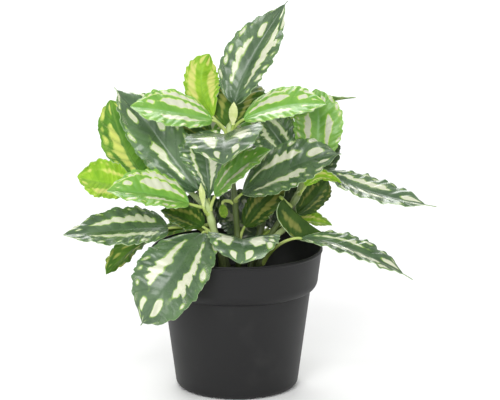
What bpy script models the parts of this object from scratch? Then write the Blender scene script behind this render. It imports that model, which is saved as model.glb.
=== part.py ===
"""Potted aluminum plant: a turned nursery pot, a plug that holds the stems, and separate leaves."""
import math

import bmesh
import bpy
from mathutils import Vector

# Sizes and places below are in millimetres, with the origin at the middle of the pot's base
MM = 0.001
GAP = 0.4

# Pot
POT_HEIGHT = 75.0
RIM_RADIUS = 45.0
COLLAR_LOW_RADIUS = 42.8
COLLAR_LOW_HEIGHT = 57.5
COLLAR_FILLET = 3.5
BODY_TOP_RADIUS = 39.0
BODY_TOP_HEIGHT = 53.0
FOOT_RADIUS = 32.6
FOOT_FILLET = 4.0
WALL = 1.2
FLOOR = 2.0
POT_STEPS = 64

# Drain notches in the foot, each with a hole through the floor at its inner end
NOTCHES = 8
NOTCH_WIDTH = 4.0
NOTCH_HEIGHT = 1.0
NOTCH_START = 22.0
DRAIN_RADIUS = 3.0
FIRST_NOTCH_ANGLE = -112.0

# Plug
PLUG_TOP = 58.0
PLUG_CROWN = 2.0
SOCKET_BOTTOM = 42.0
SOCKET_ROOM = 0.5

# Leaves
LEAF_THICKNESS = 0.5
STALK_HALF_WIDTH = 0.9
TIP_HALF_WIDTH = 0.3
STALK_STATIONS = 3
BLADE_STATIONS = 8
LEAF_FOLD = 10.0
STALK_CLEARANCE = 1.3

# Stems
STEM_STEPS = 4
STEM_BEVEL_RESOLUTION = 2

# Colours from the photo, as linear values
POT_BLACK = (0.035, 0.035, 0.035)
PLUG_BLACK = (0.015, 0.013, 0.011)
STEM_GREEN = (0.24, 0.34, 0.09)
STEM_DARK = (0.09, 0.13, 0.03)
LEAF_DARK = (0.05, 0.13, 0.07)
LEAF_BRIGHT = (0.12, 0.38, 0.05)


def clear_scene():
    for item in list(bpy.data.objects):
        bpy.data.objects.remove(item, do_unlink=True)


def new_collection(name):
    collection = bpy.data.collections.new(name)
    bpy.context.scene.collection.children.link(collection)
    return collection


def plain_material(name, colour, roughness):
    material = bpy.data.materials.new(name)
    material.use_nodes = True
    shader = material.node_tree.nodes["Principled BSDF"]
    shader.inputs["Base Color"].default_value = (*colour, 1.0)
    shader.inputs["Roughness"].default_value = roughness
    shader.inputs["Metallic"].default_value = 0.0
    return material


def add_object(name, data, collection, colour=None, roughness=0.5):
    item = bpy.data.objects.new(name, data)
    collection.objects.link(item)
    if colour is not None:
        data.materials.append(plain_material(name, colour, roughness))
    return item


def turned(name, profile, collection, colour, roughness):
    """A solid of revolution about Z from (radius, height) points in millimetres."""
    mesh = bpy.data.meshes.new(name)
    points = [(radius * MM, 0.0, height * MM) for radius, height in profile]
    edges = [(i, i + 1) for i in range(len(points) - 1)]
    mesh.from_pydata(points, edges, [])
    item = add_object(name, mesh, collection, colour, roughness)
    screw = item.modifiers.new("turn", "SCREW")
    screw.angle = math.tau
    screw.steps = POT_STEPS
    screw.render_steps = POT_STEPS
    screw.use_merge_vertices = True
    screw.merge_threshold = 0.00001
    screw.use_smooth_shade = True
    return item


def arc(centre, radii, start, end, count):
    """Points of an elliptic arc, as (radius, height), from start to end in degrees."""
    points = []
    for i in range(count + 1):
        angle = math.radians(start + (end - start) * i / count)
        points.append((centre[0] + radii[0] * math.cos(angle), centre[1] + radii[1] * math.sin(angle)))
    return points


def wall_radius(height):
    """Outer radius of the tapered body at a height."""
    share = (height - FOOT_FILLET) / (BODY_TOP_HEIGHT - FOOT_FILLET)
    return FOOT_RADIUS + (BODY_TOP_RADIUS - FOOT_RADIUS) * share


def make_cutter(name, bm, collection):
    mesh = bpy.data.meshes.new(name)
    bm.to_mesh(mesh)
    bm.free()
    cutter = add_object(name, mesh, collection)
    cutter.hide_render = True
    cutter.display_type = "WIRE"
    return cutter


def cut(item, cutter):
    boolean = item.modifiers.new(cutter.name, "BOOLEAN")
    boolean.operation = "DIFFERENCE"
    boolean.object = cutter


def place(verts, turn_angle, offset):
    """Moves new geometry out along +X by offset millimetres, then turns it about the pot's axis."""
    angle = math.radians(turn_angle)
    for vert in verts:
        x, y, z = vert.co + Vector(offset) * MM
        vert.co = (x * math.cos(angle) - y * math.sin(angle), x * math.sin(angle) + y * math.cos(angle), z)


def make_pot(collection, cutters):
    inner_top = RIM_RADIUS - WALL
    collar_side = (RIM_RADIUS - COLLAR_LOW_RADIUS) / (POT_HEIGHT - COLLAR_LOW_HEIGHT)
    profile = [(0.0, FLOOR), (FOOT_RADIUS - WALL - 2.0, FLOOR), (FOOT_RADIUS - WALL, FLOOR + 2.0)]
    profile.append((BODY_TOP_RADIUS - WALL, BODY_TOP_HEIGHT))
    profile.append((COLLAR_LOW_RADIUS - WALL, COLLAR_LOW_HEIGHT + 1.0))
    profile += [(inner_top, POT_HEIGHT - 0.3), (inner_top + 0.3, POT_HEIGHT)]
    profile += [(RIM_RADIUS - 0.3, POT_HEIGHT), (RIM_RADIUS, POT_HEIGHT - 0.3)]
    fillet_top = COLLAR_LOW_HEIGHT + COLLAR_FILLET * 0.5
    profile.append((COLLAR_LOW_RADIUS + collar_side * (fillet_top - COLLAR_LOW_HEIGHT), fillet_top))
    under = (COLLAR_LOW_RADIUS - BODY_TOP_RADIUS, COLLAR_LOW_HEIGHT - BODY_TOP_HEIGHT)
    profile += arc((BODY_TOP_RADIUS, COLLAR_LOW_HEIGHT), under, 0.0, -90.0, 4)
    foot_centre = (FOOT_RADIUS - FOOT_FILLET, FOOT_FILLET)
    profile += arc(foot_centre, (FOOT_FILLET, FOOT_FILLET), 0.0, -90.0, 4)
    profile.append((0.0, 0.0))
    pot = turned("pot", profile, collection, POT_BLACK, 0.55)

    notches = bmesh.new()
    drains = bmesh.new()
    length = FOOT_RADIUS + 4.0 - NOTCH_START
    for i in range(NOTCHES):
        turn = FIRST_NOTCH_ANGLE + 360.0 * i / NOTCHES
        box = bmesh.ops.create_cube(notches, size=1.0)["verts"]
        bmesh.ops.scale(notches, vec=Vector((length, NOTCH_WIDTH, 2.0 * NOTCH_HEIGHT)) * MM, verts=box)
        place(box, turn, (NOTCH_START + length / 2.0, 0.0, 0.0))
        rod = bmesh.ops.create_cone(drains, cap_ends=True, segments=16, radius1=DRAIN_RADIUS * MM,
                                    radius2=DRAIN_RADIUS * MM, depth=3.0 * FLOOR * MM)["verts"]
        place(rod, turn, (NOTCH_START + 0.5, 0.0, 0.0))
    cut(pot, make_cutter("notch_cutter", notches, cutters))
    cut(pot, make_cutter("drain_cutter", drains, cutters))


def smooth_path(points, steps):
    """A curve through the points (Catmull-Rom), each a tuple of x, y, z and radius."""
    rows = [points[0], *points, points[-1]]
    path = []
    for i in range(1, len(rows) - 2):
        for k in range(steps):
            t = k / steps
            row = []
            for a, b, c, d in zip(rows[i - 1], rows[i], rows[i + 1], rows[i + 2]):
                bend = (2 * a - 5 * b + 4 * c - d) * t * t + (3 * b - a - 3 * c + d) * t * t * t
                row.append(b + 0.5 * ((c - a) * t + bend))
            path.append(tuple(row))
    path.append(tuple(points[-1]))
    return path


def stem_at(path, height):
    """The stem's centre and radius at a height."""
    for low, high in zip(path, path[1:]):
        if low[2] <= height <= high[2]:
            t = (height - low[2]) / (high[2] - low[2])
            x, y, z, radius = (a + (b - a) * t for a, b in zip(low, high))
            return Vector((x, y, z)), radius
    return Vector(path[-1][:3]), path[-1][3]


def make_stem(name, path, colour, collection):
    curve = bpy.data.curves.new(name, "CURVE")
    curve.dimensions = "3D"
    curve.bevel_depth = MM
    curve.bevel_resolution = STEM_BEVEL_RESOLUTION
    curve.use_fill_caps = True
    spline = curve.splines.new("POLY")
    spline.points.add(len(path) - 1)
    for point, (x, y, z, radius) in zip(spline.points, path):
        point.co = (x * MM, y * MM, z * MM, 1.0)
        point.radius = radius
    add_object(name, curve, collection, colour, 0.5)


def make_plug(stems, collection, cutters):
    """The plug fills the pot up to below the collar, with one socket for each stem."""
    low = FLOOR + GAP
    room = WALL + GAP
    profile = [(0.0, low), (FOOT_RADIUS - room - 2.4, low), (wall_radius(low + 2.4) - room, low + 2.4)]
    profile = profile[::-1]
    top_edge = BODY_TOP_RADIUS - room
    crown = arc((0.0, PLUG_TOP - PLUG_CROWN), (top_edge, PLUG_CROWN), 90.0, 0.0, 5)
    outline = crown + [(top_edge, BODY_TOP_HEIGHT - 1.0)] + profile
    plug = turned("plug", outline, collection, PLUG_BLACK, 0.9)
    sockets = bmesh.new()
    for points in stems.values():
        x, y, z, radius = points[0]
        width = (radius + SOCKET_ROOM + 0.6) * MM
        height = (PLUG_TOP + 4.0 - SOCKET_BOTTOM) * MM
        rod = bmesh.ops.create_cone(sockets, cap_ends=True, segments=12, radius1=width, radius2=width,
                                    depth=height)["verts"]
        place(rod, 0.0, (x, y, SOCKET_BOTTOM + (PLUG_TOP + 4.0 - SOCKET_BOTTOM) / 2.0))
    cut(plug, make_cutter("socket_cutter", sockets, cutters))


def bezier(start, control, end, t):
    return start * (1 - t) ** 2 + control * (2 * t * (1 - t)) + end * t ** 2


def bezier_direction(start, control, end, t):
    return ((control - start) * (1 - t) + (end - control) * t).normalized()


def blade_share(t, widest):
    """Half-width along the blade as a share of its widest: oval, with a drawn-out tip."""
    u = t ** (math.log(0.5) / math.log(widest))
    return (4 * u * (1 - u)) ** 0.6 * (1 - 0.75 * u ** 6)


def leaf_rows(root, radius, base, middle, tip, faces, width, twist, widest):
    """Rows of centre, side and normal with the half-width, from the stem end of the stalk to the tip."""
    base, middle, tip = Vector(base), Vector(middle), Vector(tip)
    control = middle * 2 - (base + tip) / 2
    leaving = bezier_direction(base, control, tip, 0.0)
    stalk_control = base - leaving * (base - root).length * 0.45
    outward = base - root
    outward.z = 0.0
    start = root + outward.normalized() * (radius + STALK_CLEARANCE)
    faces = Vector(faces)
    rows = []
    for i in range(STALK_STATIONS):
        t = i / STALK_STATIONS
        centre = bezier(start, stalk_control, base, t)
        rows.append((centre, bezier_direction(start, stalk_control, base, t), STALK_HALF_WIDTH, 0.0))
    for i in range(BLADE_STATIONS + 1):
        t = i / BLADE_STATIONS
        half = max(width / 2 * blade_share(t, widest), STALK_HALF_WIDTH if t < 0.5 else TIP_HALF_WIDTH)
        rows.append((bezier(base, control, tip, t), bezier_direction(base, control, tip, t), half, t))
    result = []
    for centre, along, half, t in rows:
        normal = (faces - along * faces.dot(along)).normalized()
        side = along.cross(normal)
        angle = math.radians(twist) * t * t
        turned_normal = normal * math.cos(angle) + side * math.sin(angle)
        result.append((centre, along.cross(turned_normal), turned_normal, half))
    return result


def make_leaf(name, collection, root, radius, base, middle, tip, faces, width, colour, twist=0.0,
              fold=LEAF_FOLD, widest=0.5):
    """One leaf: an open strip, three points across, folded along the midrib and given its thickness."""
    bm = bmesh.new()
    rise = math.tan(math.radians(fold))
    previous = None
    for centre, side, normal, half in leaf_rows(root, radius, base, middle, tip, faces, width, twist, widest):
        row = []
        for across in (-1.0, 0.0, 1.0):
            point = centre + side * (half * across) + normal * (abs(across) * half * rise)
            row.append(bm.verts.new(point * MM))
        if previous:
            for k in range(2):
                bm.faces.new((previous[k], previous[k + 1], row[k + 1], row[k]))
        previous = row
    mesh = bpy.data.meshes.new(name)
    bm.to_mesh(mesh)
    bm.free()
    leaf = add_object(name, mesh, collection, colour, 0.4)
    shell = leaf.modifiers.new("thickness", "SOLIDIFY")
    shell.thickness = LEAF_THICKNESS * MM
    shell.offset = 0.0


# Stems, from the socket in the plug to the shoot's end: x, y, z and radius
STEMS = {
    "stem_centre": [(1, 1, 44, 1.5), (1, 1, 60, 1.6), (0.5, 0, 78, 1.6), (-1, 0, 99, 1.6),
                    (-3, 1, 118, 1.4), (-4, 0, 137, 1.6), (-3, 0, 141, 1.2)],
    "stem_left_front": [(-6, -10, 44, 1.4), (-6, -10, 60, 1.5), (-9, -12, 77, 1.6), (-12, -13, 87, 1.7),
                        (-15, -13, 99, 1.6), (-17, -13, 104, 1.2)],
    "stem_left": [(-8, 5, 44, 1.3), (-8, 5, 60, 1.4), (-10, 5, 76, 1.4), (-15, 5, 92, 1.4),
                  (-26, 8, 104, 1.3), (-40, 12, 112, 1.1)],
    "stem_right": [(10, 0, 44, 1.4), (10, 0, 60, 1.5), (14, -1, 74, 1.5), (22, -1, 88, 1.5),
                   (31, -1, 101, 1.4), (36, 2, 112, 1.2)],
    "stem_right_low": [(9, -11, 44, 1.4), (9, -11, 60, 1.5), (13, -12.5, 70, 1.5), (18, -8, 80, 1.3),
                       (26, -3, 86, 1.1)],
    "stem_back_right": [(7, 11, 44, 1.5), (7, 11, 60, 1.6), (12, 16, 78, 1.6), (17, 24, 100, 1.5),
                        (18, 28, 118, 1.2)],
    "stem_back_left": [(-5, 13, 44, 1.5), (-5, 13, 60, 1.6), (-12, 18, 78, 1.6), (-20, 26, 100, 1.5),
                       (-22, 30, 118, 1.2)],
}
PALE_STEMS = ("stem_left_front",)

# Leaves: the height of the stalk's root on its stem, then the blade's base, the middle of its midrib
# and its tip, and the way its upper side faces
LEAVES = {
    "leaf_top_right": dict(
        stem="stem_centre", height=140, base=(-1, 3, 151), middle=(9, 8, 176), tip=(26.6, 16, 203.5),
        faces=(-0.58, -0.74, 0.35), width=28, colour=LEAF_DARK, twist=55, fold=22, widest=0.43),
    "leaf_top_left": dict(
        stem="stem_centre", height=136, base=(-12.5, 5, 144), middle=(-18.8, 15, 159),
        tip=(-14.5, 21, 174.5), faces=(0.1, 0.9, 0.35), width=19, colour=LEAF_BRIGHT, widest=0.5),
    "leaf_upper_left": dict(
        stem="stem_centre", height=134, base=(-13, -5, 144), middle=(-34, -9, 149), tip=(-55, -10, 152),
        faces=(-0.1, -0.42, 0.9), width=32, colour=LEAF_BRIGHT),
    "leaf_upper_right": dict(
        stem="stem_centre", height=136.5, base=(4, -2, 144), middle=(25, -5, 151.5),
        tip=(46.5, -6, 152.5), faces=(0.05, -0.4, 0.9), width=28, colour=LEAF_BRIGHT),
    "leaf_upper_front": dict(
        stem="stem_centre", height=131, base=(-6, -8, 137), middle=(-6, -29, 138.5),
        tip=(-7, -50, 129.4), faces=(-0.17, -0.12, 1), width=40, colour=LEAF_DARK),
    "leaf_upper_back": dict(
        stem="stem_centre", height=133, base=(-5, 6, 138), middle=(-0.5, 17, 150), tip=(4, 34, 159),
        faces=(0, -0.6, 0.8), width=30, colour=LEAF_DARK),
    "leaf_left_tall": dict(
        stem="stem_left", height=92, base=(-20, 0, 106), middle=(-43.8, 10, 134.2),
        tip=(-65, 22, 156.3), faces=(-0.5, -0.8, 0.5), width=28, colour=LEAF_DARK, twist=85, fold=14,
        widest=0.5),
    "leaf_left_glossy": dict(
        stem="stem_left_front", height=92, base=(-14.5, -8, 103), middle=(-15.8, -5, 120.2),
        tip=(-20, 3, 136), faces=(-0.1, -0.85, 0.5), width=25, colour=LEAF_DARK, fold=12, widest=0.72),
    "leaf_left_shaded": dict(
        stem="stem_centre", height=118, base=(-9, 8, 124.5), middle=(-24, 18, 135.5),
        tip=(-42, 26, 141), faces=(0.1, 0.75, 0.65), width=22, colour=LEAF_DARK),
    "leaf_left_high": dict(
        stem="stem_left", height=112, base=(-47, 24, 105.7), middle=(-59, 28, 122.2),
        tip=(-67.5, 30, 148.2), faces=(0.35, 0.8, 0.45), width=36, colour=LEAF_DARK),
    "leaf_left_pale": dict(
        stem="stem_left", height=111, base=(-55, 4, 106), middle=(-70, 4, 109), tip=(-84, 4, 112),
        faces=(0.1, 0.85, 0.5), width=28, colour=LEAF_BRIGHT),
    "leaf_left_bright": dict(
        stem="stem_left_front", height=99, base=(-25, -16, 102), middle=(-45, -20, 108),
        tip=(-67, -22, 110), faces=(-0.1, -0.42, 0.88), width=30, colour=LEAF_BRIGHT, fold=16),
    "leaf_left_low": dict(
        stem="stem_left", height=86, base=(-36, -14, 88.5), middle=(-61, -18, 88), tip=(-90, -20, 86),
        faces=(-0.05, -0.4, 0.9), width=32.5, colour=LEAF_DARK, widest=0.42),
    "leaf_left_hanging": dict(
        stem="stem_left", height=72, base=(-27, 2, 85), middle=(-51, -3, 77), tip=(-69, -4, 61),
        faces=(-0.2, 0.35, 0.9), width=24, colour=LEAF_DARK, twist=35),
    "leaf_left_inner": dict(
        stem="stem_left_front", height=84, base=(-18, -9, 88), middle=(-28, -6, 92),
        tip=(-40, -5, 95.6), faces=(-0.1, -0.35, 0.93), width=20, colour=LEAF_DARK),
    "leaf_front_left": dict(
        stem="stem_left_front", height=82, base=(-18, -21, 87), middle=(-33, -46, 70),
        tip=(-49, -47, 45), faces=(-0.3, -0.8, 0.5), width=39, colour=LEAF_DARK),
    "leaf_front": dict(
        stem="stem_centre", height=74, base=(2, -12, 81), middle=(3.5, -30, 85), tip=(2, -46.5, 76.3),
        faces=(0.05, -0.12, 1), width=37, colour=LEAF_DARK),
    "leaf_centre_bright": dict(
        stem="stem_left_front", height=98, base=(-11, -15, 106), middle=(0.5, -17, 120),
        tip=(17.5, -19, 131), faces=(-0.3, -0.45, 0.8), width=19, colour=LEAF_BRIGHT),
    "leaf_centre_shaded": dict(
        stem="stem_centre", height=78, base=(4.3, -1, 86.3), middle=(13.8, -2, 98.8),
        tip=(27, -3, 110.8), faces=(-0.3, -0.85, 0.35), width=16, colour=LEAF_DARK, fold=4),
    "leaf_centre_small": dict(
        stem="stem_centre", height=99, base=(-7.5, -3, 98.5), middle=(-7, -3.6, 95),
        tip=(-6.3, -4, 91.5), faces=(0, -0.95, 0.3), width=4.6, colour=LEAF_BRIGHT),
    "leaf_right_wide": dict(
        stem="stem_centre", height=100, base=(3, -8, 105.5), middle=(28, -16, 121.5),
        tip=(54, -22, 129.5), faces=(-0.05, -0.72, 0.7), width=28, colour=LEAF_DARK),
    "leaf_right_inner": dict(
        stem="stem_right", height=110, base=(28, 9, 122.3), middle=(20, 11, 133.3), tip=(11, 14, 143.3),
        faces=(-0.2, -0.8, 0.5), width=24, colour=LEAF_DARK, fold=20),
    "leaf_right_top": dict(
        stem="stem_right", height=111, base=(41, 4, 118), middle=(42.8, 8, 140), tip=(41.5, 14, 157),
        faces=(0, -0.85, 0.5), width=26, colour=LEAF_BRIGHT),
    "leaf_right_far": dict(
        stem="stem_back_right", height=116, base=(30, 31, 139), middle=(46, 31, 146),
        tip=(63.5, 30, 149.4), faces=(0, 0.22, 0.97), width=18, colour=LEAF_DARK),
    "leaf_right_back": dict(
        stem="stem_back_right", height=100, base=(31, 17, 106), middle=(42, 21, 119), tip=(47, 26, 136),
        faces=(0, -0.8, 0.55), width=25, colour=LEAF_DARK),
    "leaf_right_small": dict(
        stem="stem_right", height=104, base=(36, -13, 111.1), middle=(43.5, -14, 115.9),
        tip=(54.5, -15, 112.6), faces=(0.1, 0.6, 0.75), width=12, colour=LEAF_BRIGHT),
    "leaf_right_out": dict(
        stem="stem_right", height=107, base=(47, -1, 115.7), middle=(70, -8, 106.4),
        tip=(104, -14, 99.8), faces=(0.1, -0.25, 0.97), width=25, colour=LEAF_DARK),
    "leaf_right_under": dict(
        stem="stem_right_low", height=85.5, base=(32, 8, 91), middle=(42, 11, 100.5),
        tip=(48, 13, 108.5), faces=(-0.1, 0.8, 0.5), width=20, colour=LEAF_DARK),
    "leaf_right_pale": dict(
        stem="stem_back_right", height=76, base=(29, 20.7, 83.7), middle=(39, 20.7, 84.3),
        tip=(51, 20.7, 81.7), faces=(0.1, 0.6, 0.75), width=15.5, colour=LEAF_BRIGHT),
    "leaf_right_shaded": dict(
        stem="stem_right", height=97, base=(24, -12, 103), middle=(35.5, -12.5, 92), tip=(49, -12, 83),
        faces=(-0.65, 0, -0.76), width=7.2, colour=LEAF_DARK, fold=70, widest=0.42),
    "leaf_right_low": dict(
        stem="stem_right_low", height=69, base=(34, -22, 85), middle=(60, -28, 80.3), tip=(91, -31, 65),
        faces=(0.2, -0.2, 0.95), width=24, colour=LEAF_DARK),
    "leaf_back_right_low": dict(
        stem="stem_back_right", height=80, base=(20, 27.5, 77.5), middle=(25, 31.5, 88.4),
        tip=(32, 33.5, 101), faces=(0.1, -0.8, 0.55), width=23.5, colour=LEAF_DARK),
    "leaf_back_centre_low": dict(
        stem="stem_back_right", height=71, base=(12.5, 20, 77.5), middle=(2.5, 25, 87),
        tip=(-9, 28, 98), faces=(-0.1, -0.8, 0.55), width=27, colour=LEAF_DARK),
    "leaf_back_right": dict(
        stem="stem_back_right", height=98, base=(27, 31, 105), middle=(40, 39, 109), tip=(54, 46, 100),
        faces=(0.2, 0.1, 1), width=32, colour=LEAF_DARK),
    "leaf_back_centre": dict(
        stem="stem_back_right", height=102, base=(10, 33, 111), middle=(-1, 44, 118),
        tip=(-13, 54, 114), faces=(-0.1, 0.2, 1), width=32, colour=LEAF_DARK),
    "leaf_back_top": dict(
        stem="stem_back_right", height=115, base=(18, 36, 123), middle=(15, 49, 131), tip=(12, 63, 128),
        faces=(0, -0.2, 1), width=26, colour=LEAF_DARK),
    "leaf_back_top_left": dict(
        stem="stem_back_right", height=117, base=(12, 31, 125), middle=(4, 36, 134), tip=(-5, 45, 139),
        faces=(-0.2, -0.5, 0.85), width=20, colour=LEAF_BRIGHT),
    "leaf_back_left_low": dict(
        stem="stem_back_left", height=78, base=(-13, 25.5, 80), middle=(-19.5, 27.5, 87.8),
        tip=(-29, 29, 95), faces=(0.1, -0.8, 0.55), width=22, colour=LEAF_DARK),
    "leaf_back_left": dict(
        stem="stem_back_left", height=103, base=(-29, 34, 108), middle=(-42, 43, 113),
        tip=(-56, 53, 107), faces=(-0.2, 0.1, 1), width=28, colour=LEAF_DARK),
    "leaf_back_left_inner": dict(
        stem="stem_back_left", height=97, base=(-17, 37, 102), middle=(-16, 51, 105), tip=(-17, 66, 96),
        faces=(0, 0.1, 1), width=30, colour=LEAF_DARK),
    "leaf_back_left_top": dict(
        stem="stem_back_left", height=117, base=(-26, 37, 123), middle=(-34, 47, 131),
        tip=(-43, 58, 129), faces=(-0.2, -0.1, 1), width=29, colour=LEAF_DARK),
    "leaf_back_left_high": dict(
        stem="stem_back_left", height=115, base=(-19, 33, 126), middle=(-15, 38, 139),
        tip=(-13, 44, 150), faces=(0.1, -0.6, 0.7), width=20, colour=LEAF_BRIGHT),
    "leaf_back_left_drop": dict(
        stem="stem_back_left", height=69, base=(-16, 29, 79), middle=(-27, 44, 77), tip=(-35, 55, 59),
        faces=(-0.3, 0.4, 0.9), width=24, colour=LEAF_DARK),
    "leaf_back_right_drop": dict(
        stem="stem_back_right", height=68, base=(17, 31, 78.4), middle=(26, 45, 77), tip=(32, 57, 59),
        faces=(0.2, 0.5, 0.9), width=24, colour=LEAF_DARK),
    "leaf_bud_left": dict(
        stem="stem_left_front", height=96, base=(-17.2, -15.8, 100.4), middle=(-17.6, -15.8, 106.5),
        tip=(-18.5, -15.8, 112.8), faces=(-0.6, -0.8, 0), width=4, colour=LEAF_BRIGHT),
    "leaf_bud_top": dict(
        stem="stem_centre", height=137, base=(-1.8, -2, 141), middle=(-1.8, -2.5, 147),
        tip=(-1.4, -2, 153), faces=(0, -1, 0.1), width=4.6, colour=LEAF_BRIGHT),
}


def main():
    clear_scene()
    plant = new_collection("potted_aluminum_plant")
    cutters = new_collection("cutters")
    make_pot(plant, cutters)
    make_plug(STEMS, plant, cutters)
    paths = {name: smooth_path(points, STEM_STEPS) for name, points in STEMS.items()}
    for name, path in paths.items():
        make_stem(name, path, STEM_GREEN if name in PALE_STEMS else STEM_DARK, plant)
    for name, shape in LEAVES.items():
        root, radius = stem_at(paths[shape.pop("stem")], shape.pop("height"))
        make_leaf(name, plant, root, radius, **shape)


main()
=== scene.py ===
import math
from functools import partial

import bmesh
import bpy
import numpy as np
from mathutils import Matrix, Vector


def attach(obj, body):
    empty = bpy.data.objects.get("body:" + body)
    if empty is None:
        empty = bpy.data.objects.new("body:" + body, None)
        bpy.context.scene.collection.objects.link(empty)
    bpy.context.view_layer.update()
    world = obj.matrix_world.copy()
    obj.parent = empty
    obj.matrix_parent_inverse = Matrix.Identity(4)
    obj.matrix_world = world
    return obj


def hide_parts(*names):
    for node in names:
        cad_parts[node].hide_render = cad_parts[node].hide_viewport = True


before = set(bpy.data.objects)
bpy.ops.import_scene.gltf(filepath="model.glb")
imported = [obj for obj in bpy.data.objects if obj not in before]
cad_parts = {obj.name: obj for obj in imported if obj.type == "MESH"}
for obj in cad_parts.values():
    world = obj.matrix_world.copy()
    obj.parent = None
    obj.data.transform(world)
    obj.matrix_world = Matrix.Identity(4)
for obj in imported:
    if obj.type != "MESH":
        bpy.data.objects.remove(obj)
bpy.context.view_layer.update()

# Nursery pot, injection-moulded in black plastic: a tapered wall under a tall collar, with the rim's
# edge rounded over and drain notches pressed into the foot. Every length in this file is in
# millimetres, from the middle of the pot's base, and MM turns it into metres.
MM = 0.001
POT_HEIGHT = 75.0
RIM_RADIUS = 45.0
COLLAR_LOW_RADIUS = 42.8
COLLAR_LOW_HEIGHT = 57.5
BODY_TOP_RADIUS = 39.0
BODY_TOP_HEIGHT = 53.0
FOOT_RADIUS = 32.6
FOOT_FILLET = 4.0
WALL = 1.2
FLOOR = 2.0
INSIDE_FILLET = 2.0
RIM_ROUND = 0.5
RIM_INSET = 0.2
RIM_DEPTH = 2.4
UNDERSIDE_ROUND = 1.7
UNDERSIDE_STEP = 0.6
COLLAR_STEP_INSIDE = 1.0
POT_TURNS = 192
NOTCHES = 8
NOTCH_WIDTH = 4.0
NOTCH_HEIGHT = 1.0
NOTCH_START = 22.0
NOTCH_OVERRUN = 4.0
FIRST_NOTCH_ANGLE = -112.0
DRAIN_RADIUS = 3.0
DRAIN_INSET = 0.5
DRAIN_SIDES = 32
POT_BLACK = (0.010, 0.010, 0.0105, 1.0)
POT_SCUFF = (0.020, 0.020, 0.020, 1.0)
# Bead under the rim, as distance out past the rim and down from its rounding
RIM_BEAD = ((0.35, 0.3), (0.3, 0.9), (-0.1, 1.3))


def arc(centre, radii, start, end, count):
    """Points of an elliptic arc, as (radius, height), from start to end in degrees."""
    angles = np.radians(np.linspace(start, end, count + 1))
    return [(centre[0] + radii[0] * math.cos(a), centre[1] + radii[1] * math.sin(a)) for a in angles]


def straight(start, end, count):
    """Points from start up to end, without end."""
    return [(start[0] + (end[0] - start[0]) * i / count, start[1] + (end[1] - start[1]) * i / count)
            for i in range(count)]


def turned_mesh(name, outline, turns):
    """A mesh of revolution about Z from (radius, height) points that begin and end on the axis."""
    bm = bmesh.new()
    rings = []
    for radius, height in outline:
        if radius < 1e-6:
            rings.append([bm.verts.new((0.0, 0.0, height * MM))])
            continue
        angles = np.linspace(0.0, math.tau, turns, endpoint=False)
        rings.append([bm.verts.new((radius * MM * math.cos(a), radius * MM * math.sin(a), height * MM))
                      for a in angles])
    for low, high in zip(rings, rings[1:]):
        for i in range(turns):
            k = (i + 1) % turns
            corners = [low[i % len(low)], low[k % len(low)], high[k % len(high)], high[i % len(high)]]
            bm.faces.new(list(dict.fromkeys(corners)))
    bmesh.ops.recalc_face_normals(bm, faces=bm.faces)
    mesh = bpy.data.meshes.new(name)
    bm.to_mesh(mesh)
    bm.free()
    mesh.shade_smooth()
    return mesh


def add_piece(name, data, slot, *nodes):
    """Puts a finished piece on the plant in place of its plain CAD nodes."""
    piece = bpy.data.objects.new(name, data)
    bpy.context.scene.collection.objects.link(piece)
    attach(piece, "root")
    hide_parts(*nodes)
    return piece


def new_material(name):
    """A material with its node tree and its Principled shader."""
    material = bpy.data.materials.new(name)
    material.use_nodes = True
    return material, material.node_tree, material.node_tree.nodes["Principled BSDF"]


def add_node(tree, kind, inputs=None, **settings):
    """Adds a node, sets its properties, and fills or links its inputs by name or number."""
    node = tree.nodes.new(kind)
    for key, value in settings.items():
        setattr(node, key, value)
    for key, value in (inputs or {}).items():
        if isinstance(value, bpy.types.NodeSocket):
            tree.links.new(value, node.inputs[key])
        else:
            node.inputs[key].default_value = value
    return node


def calc(tree, operation, *values):
    """A Math node's result. A value is a number or another node's socket."""
    return add_node(tree, "ShaderNodeMath", dict(enumerate(values)), operation=operation).outputs[0]


def ramp(tree, value, low, high):
    """0 below low, 1 above high, and a smooth rise between them."""
    inputs = {"Value": value, "From Min": low, "From Max": high}
    return add_node(tree, "ShaderNodeMapRange", inputs, interpolation_type="SMOOTHSTEP").outputs[0]


def blend_colour(tree, share, first, second):
    """A mix of two colours, each a colour or a socket."""
    node = add_node(tree, "ShaderNodeMix", data_type="RGBA")
    for socket, value in zip((node.inputs[0], node.inputs[6], node.inputs[7]), (share, first, second)):
        if isinstance(value, bpy.types.NodeSocket):
            tree.links.new(value, socket)
        else:
            socket.default_value = value
    return node.outputs[2]


def new_group(name, inputs, outputs):
    """A shader group with inputs and their defaults, and outputs by name. All are plain numbers."""
    group = bpy.data.node_groups.new(name, "ShaderNodeTree")
    for key, default in inputs.items():
        socket = group.interface.new_socket(key, in_out="INPUT", socket_type="NodeSocketFloat")
        socket.default_value = default
    for key in outputs:
        group.interface.new_socket(key, in_out="OUTPUT", socket_type="NodeSocketFloat")
    return group, group.nodes.new("NodeGroupInput").outputs, group.nodes.new("NodeGroupOutput").inputs


def place_group(tree, group, **values):
    """Places a shader group in a material with its own values."""
    node = tree.nodes.new("ShaderNodeGroup")
    node.node_tree = group
    for key, value in values.items():
        node.inputs[key].default_value = value
    return node.outputs


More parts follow.
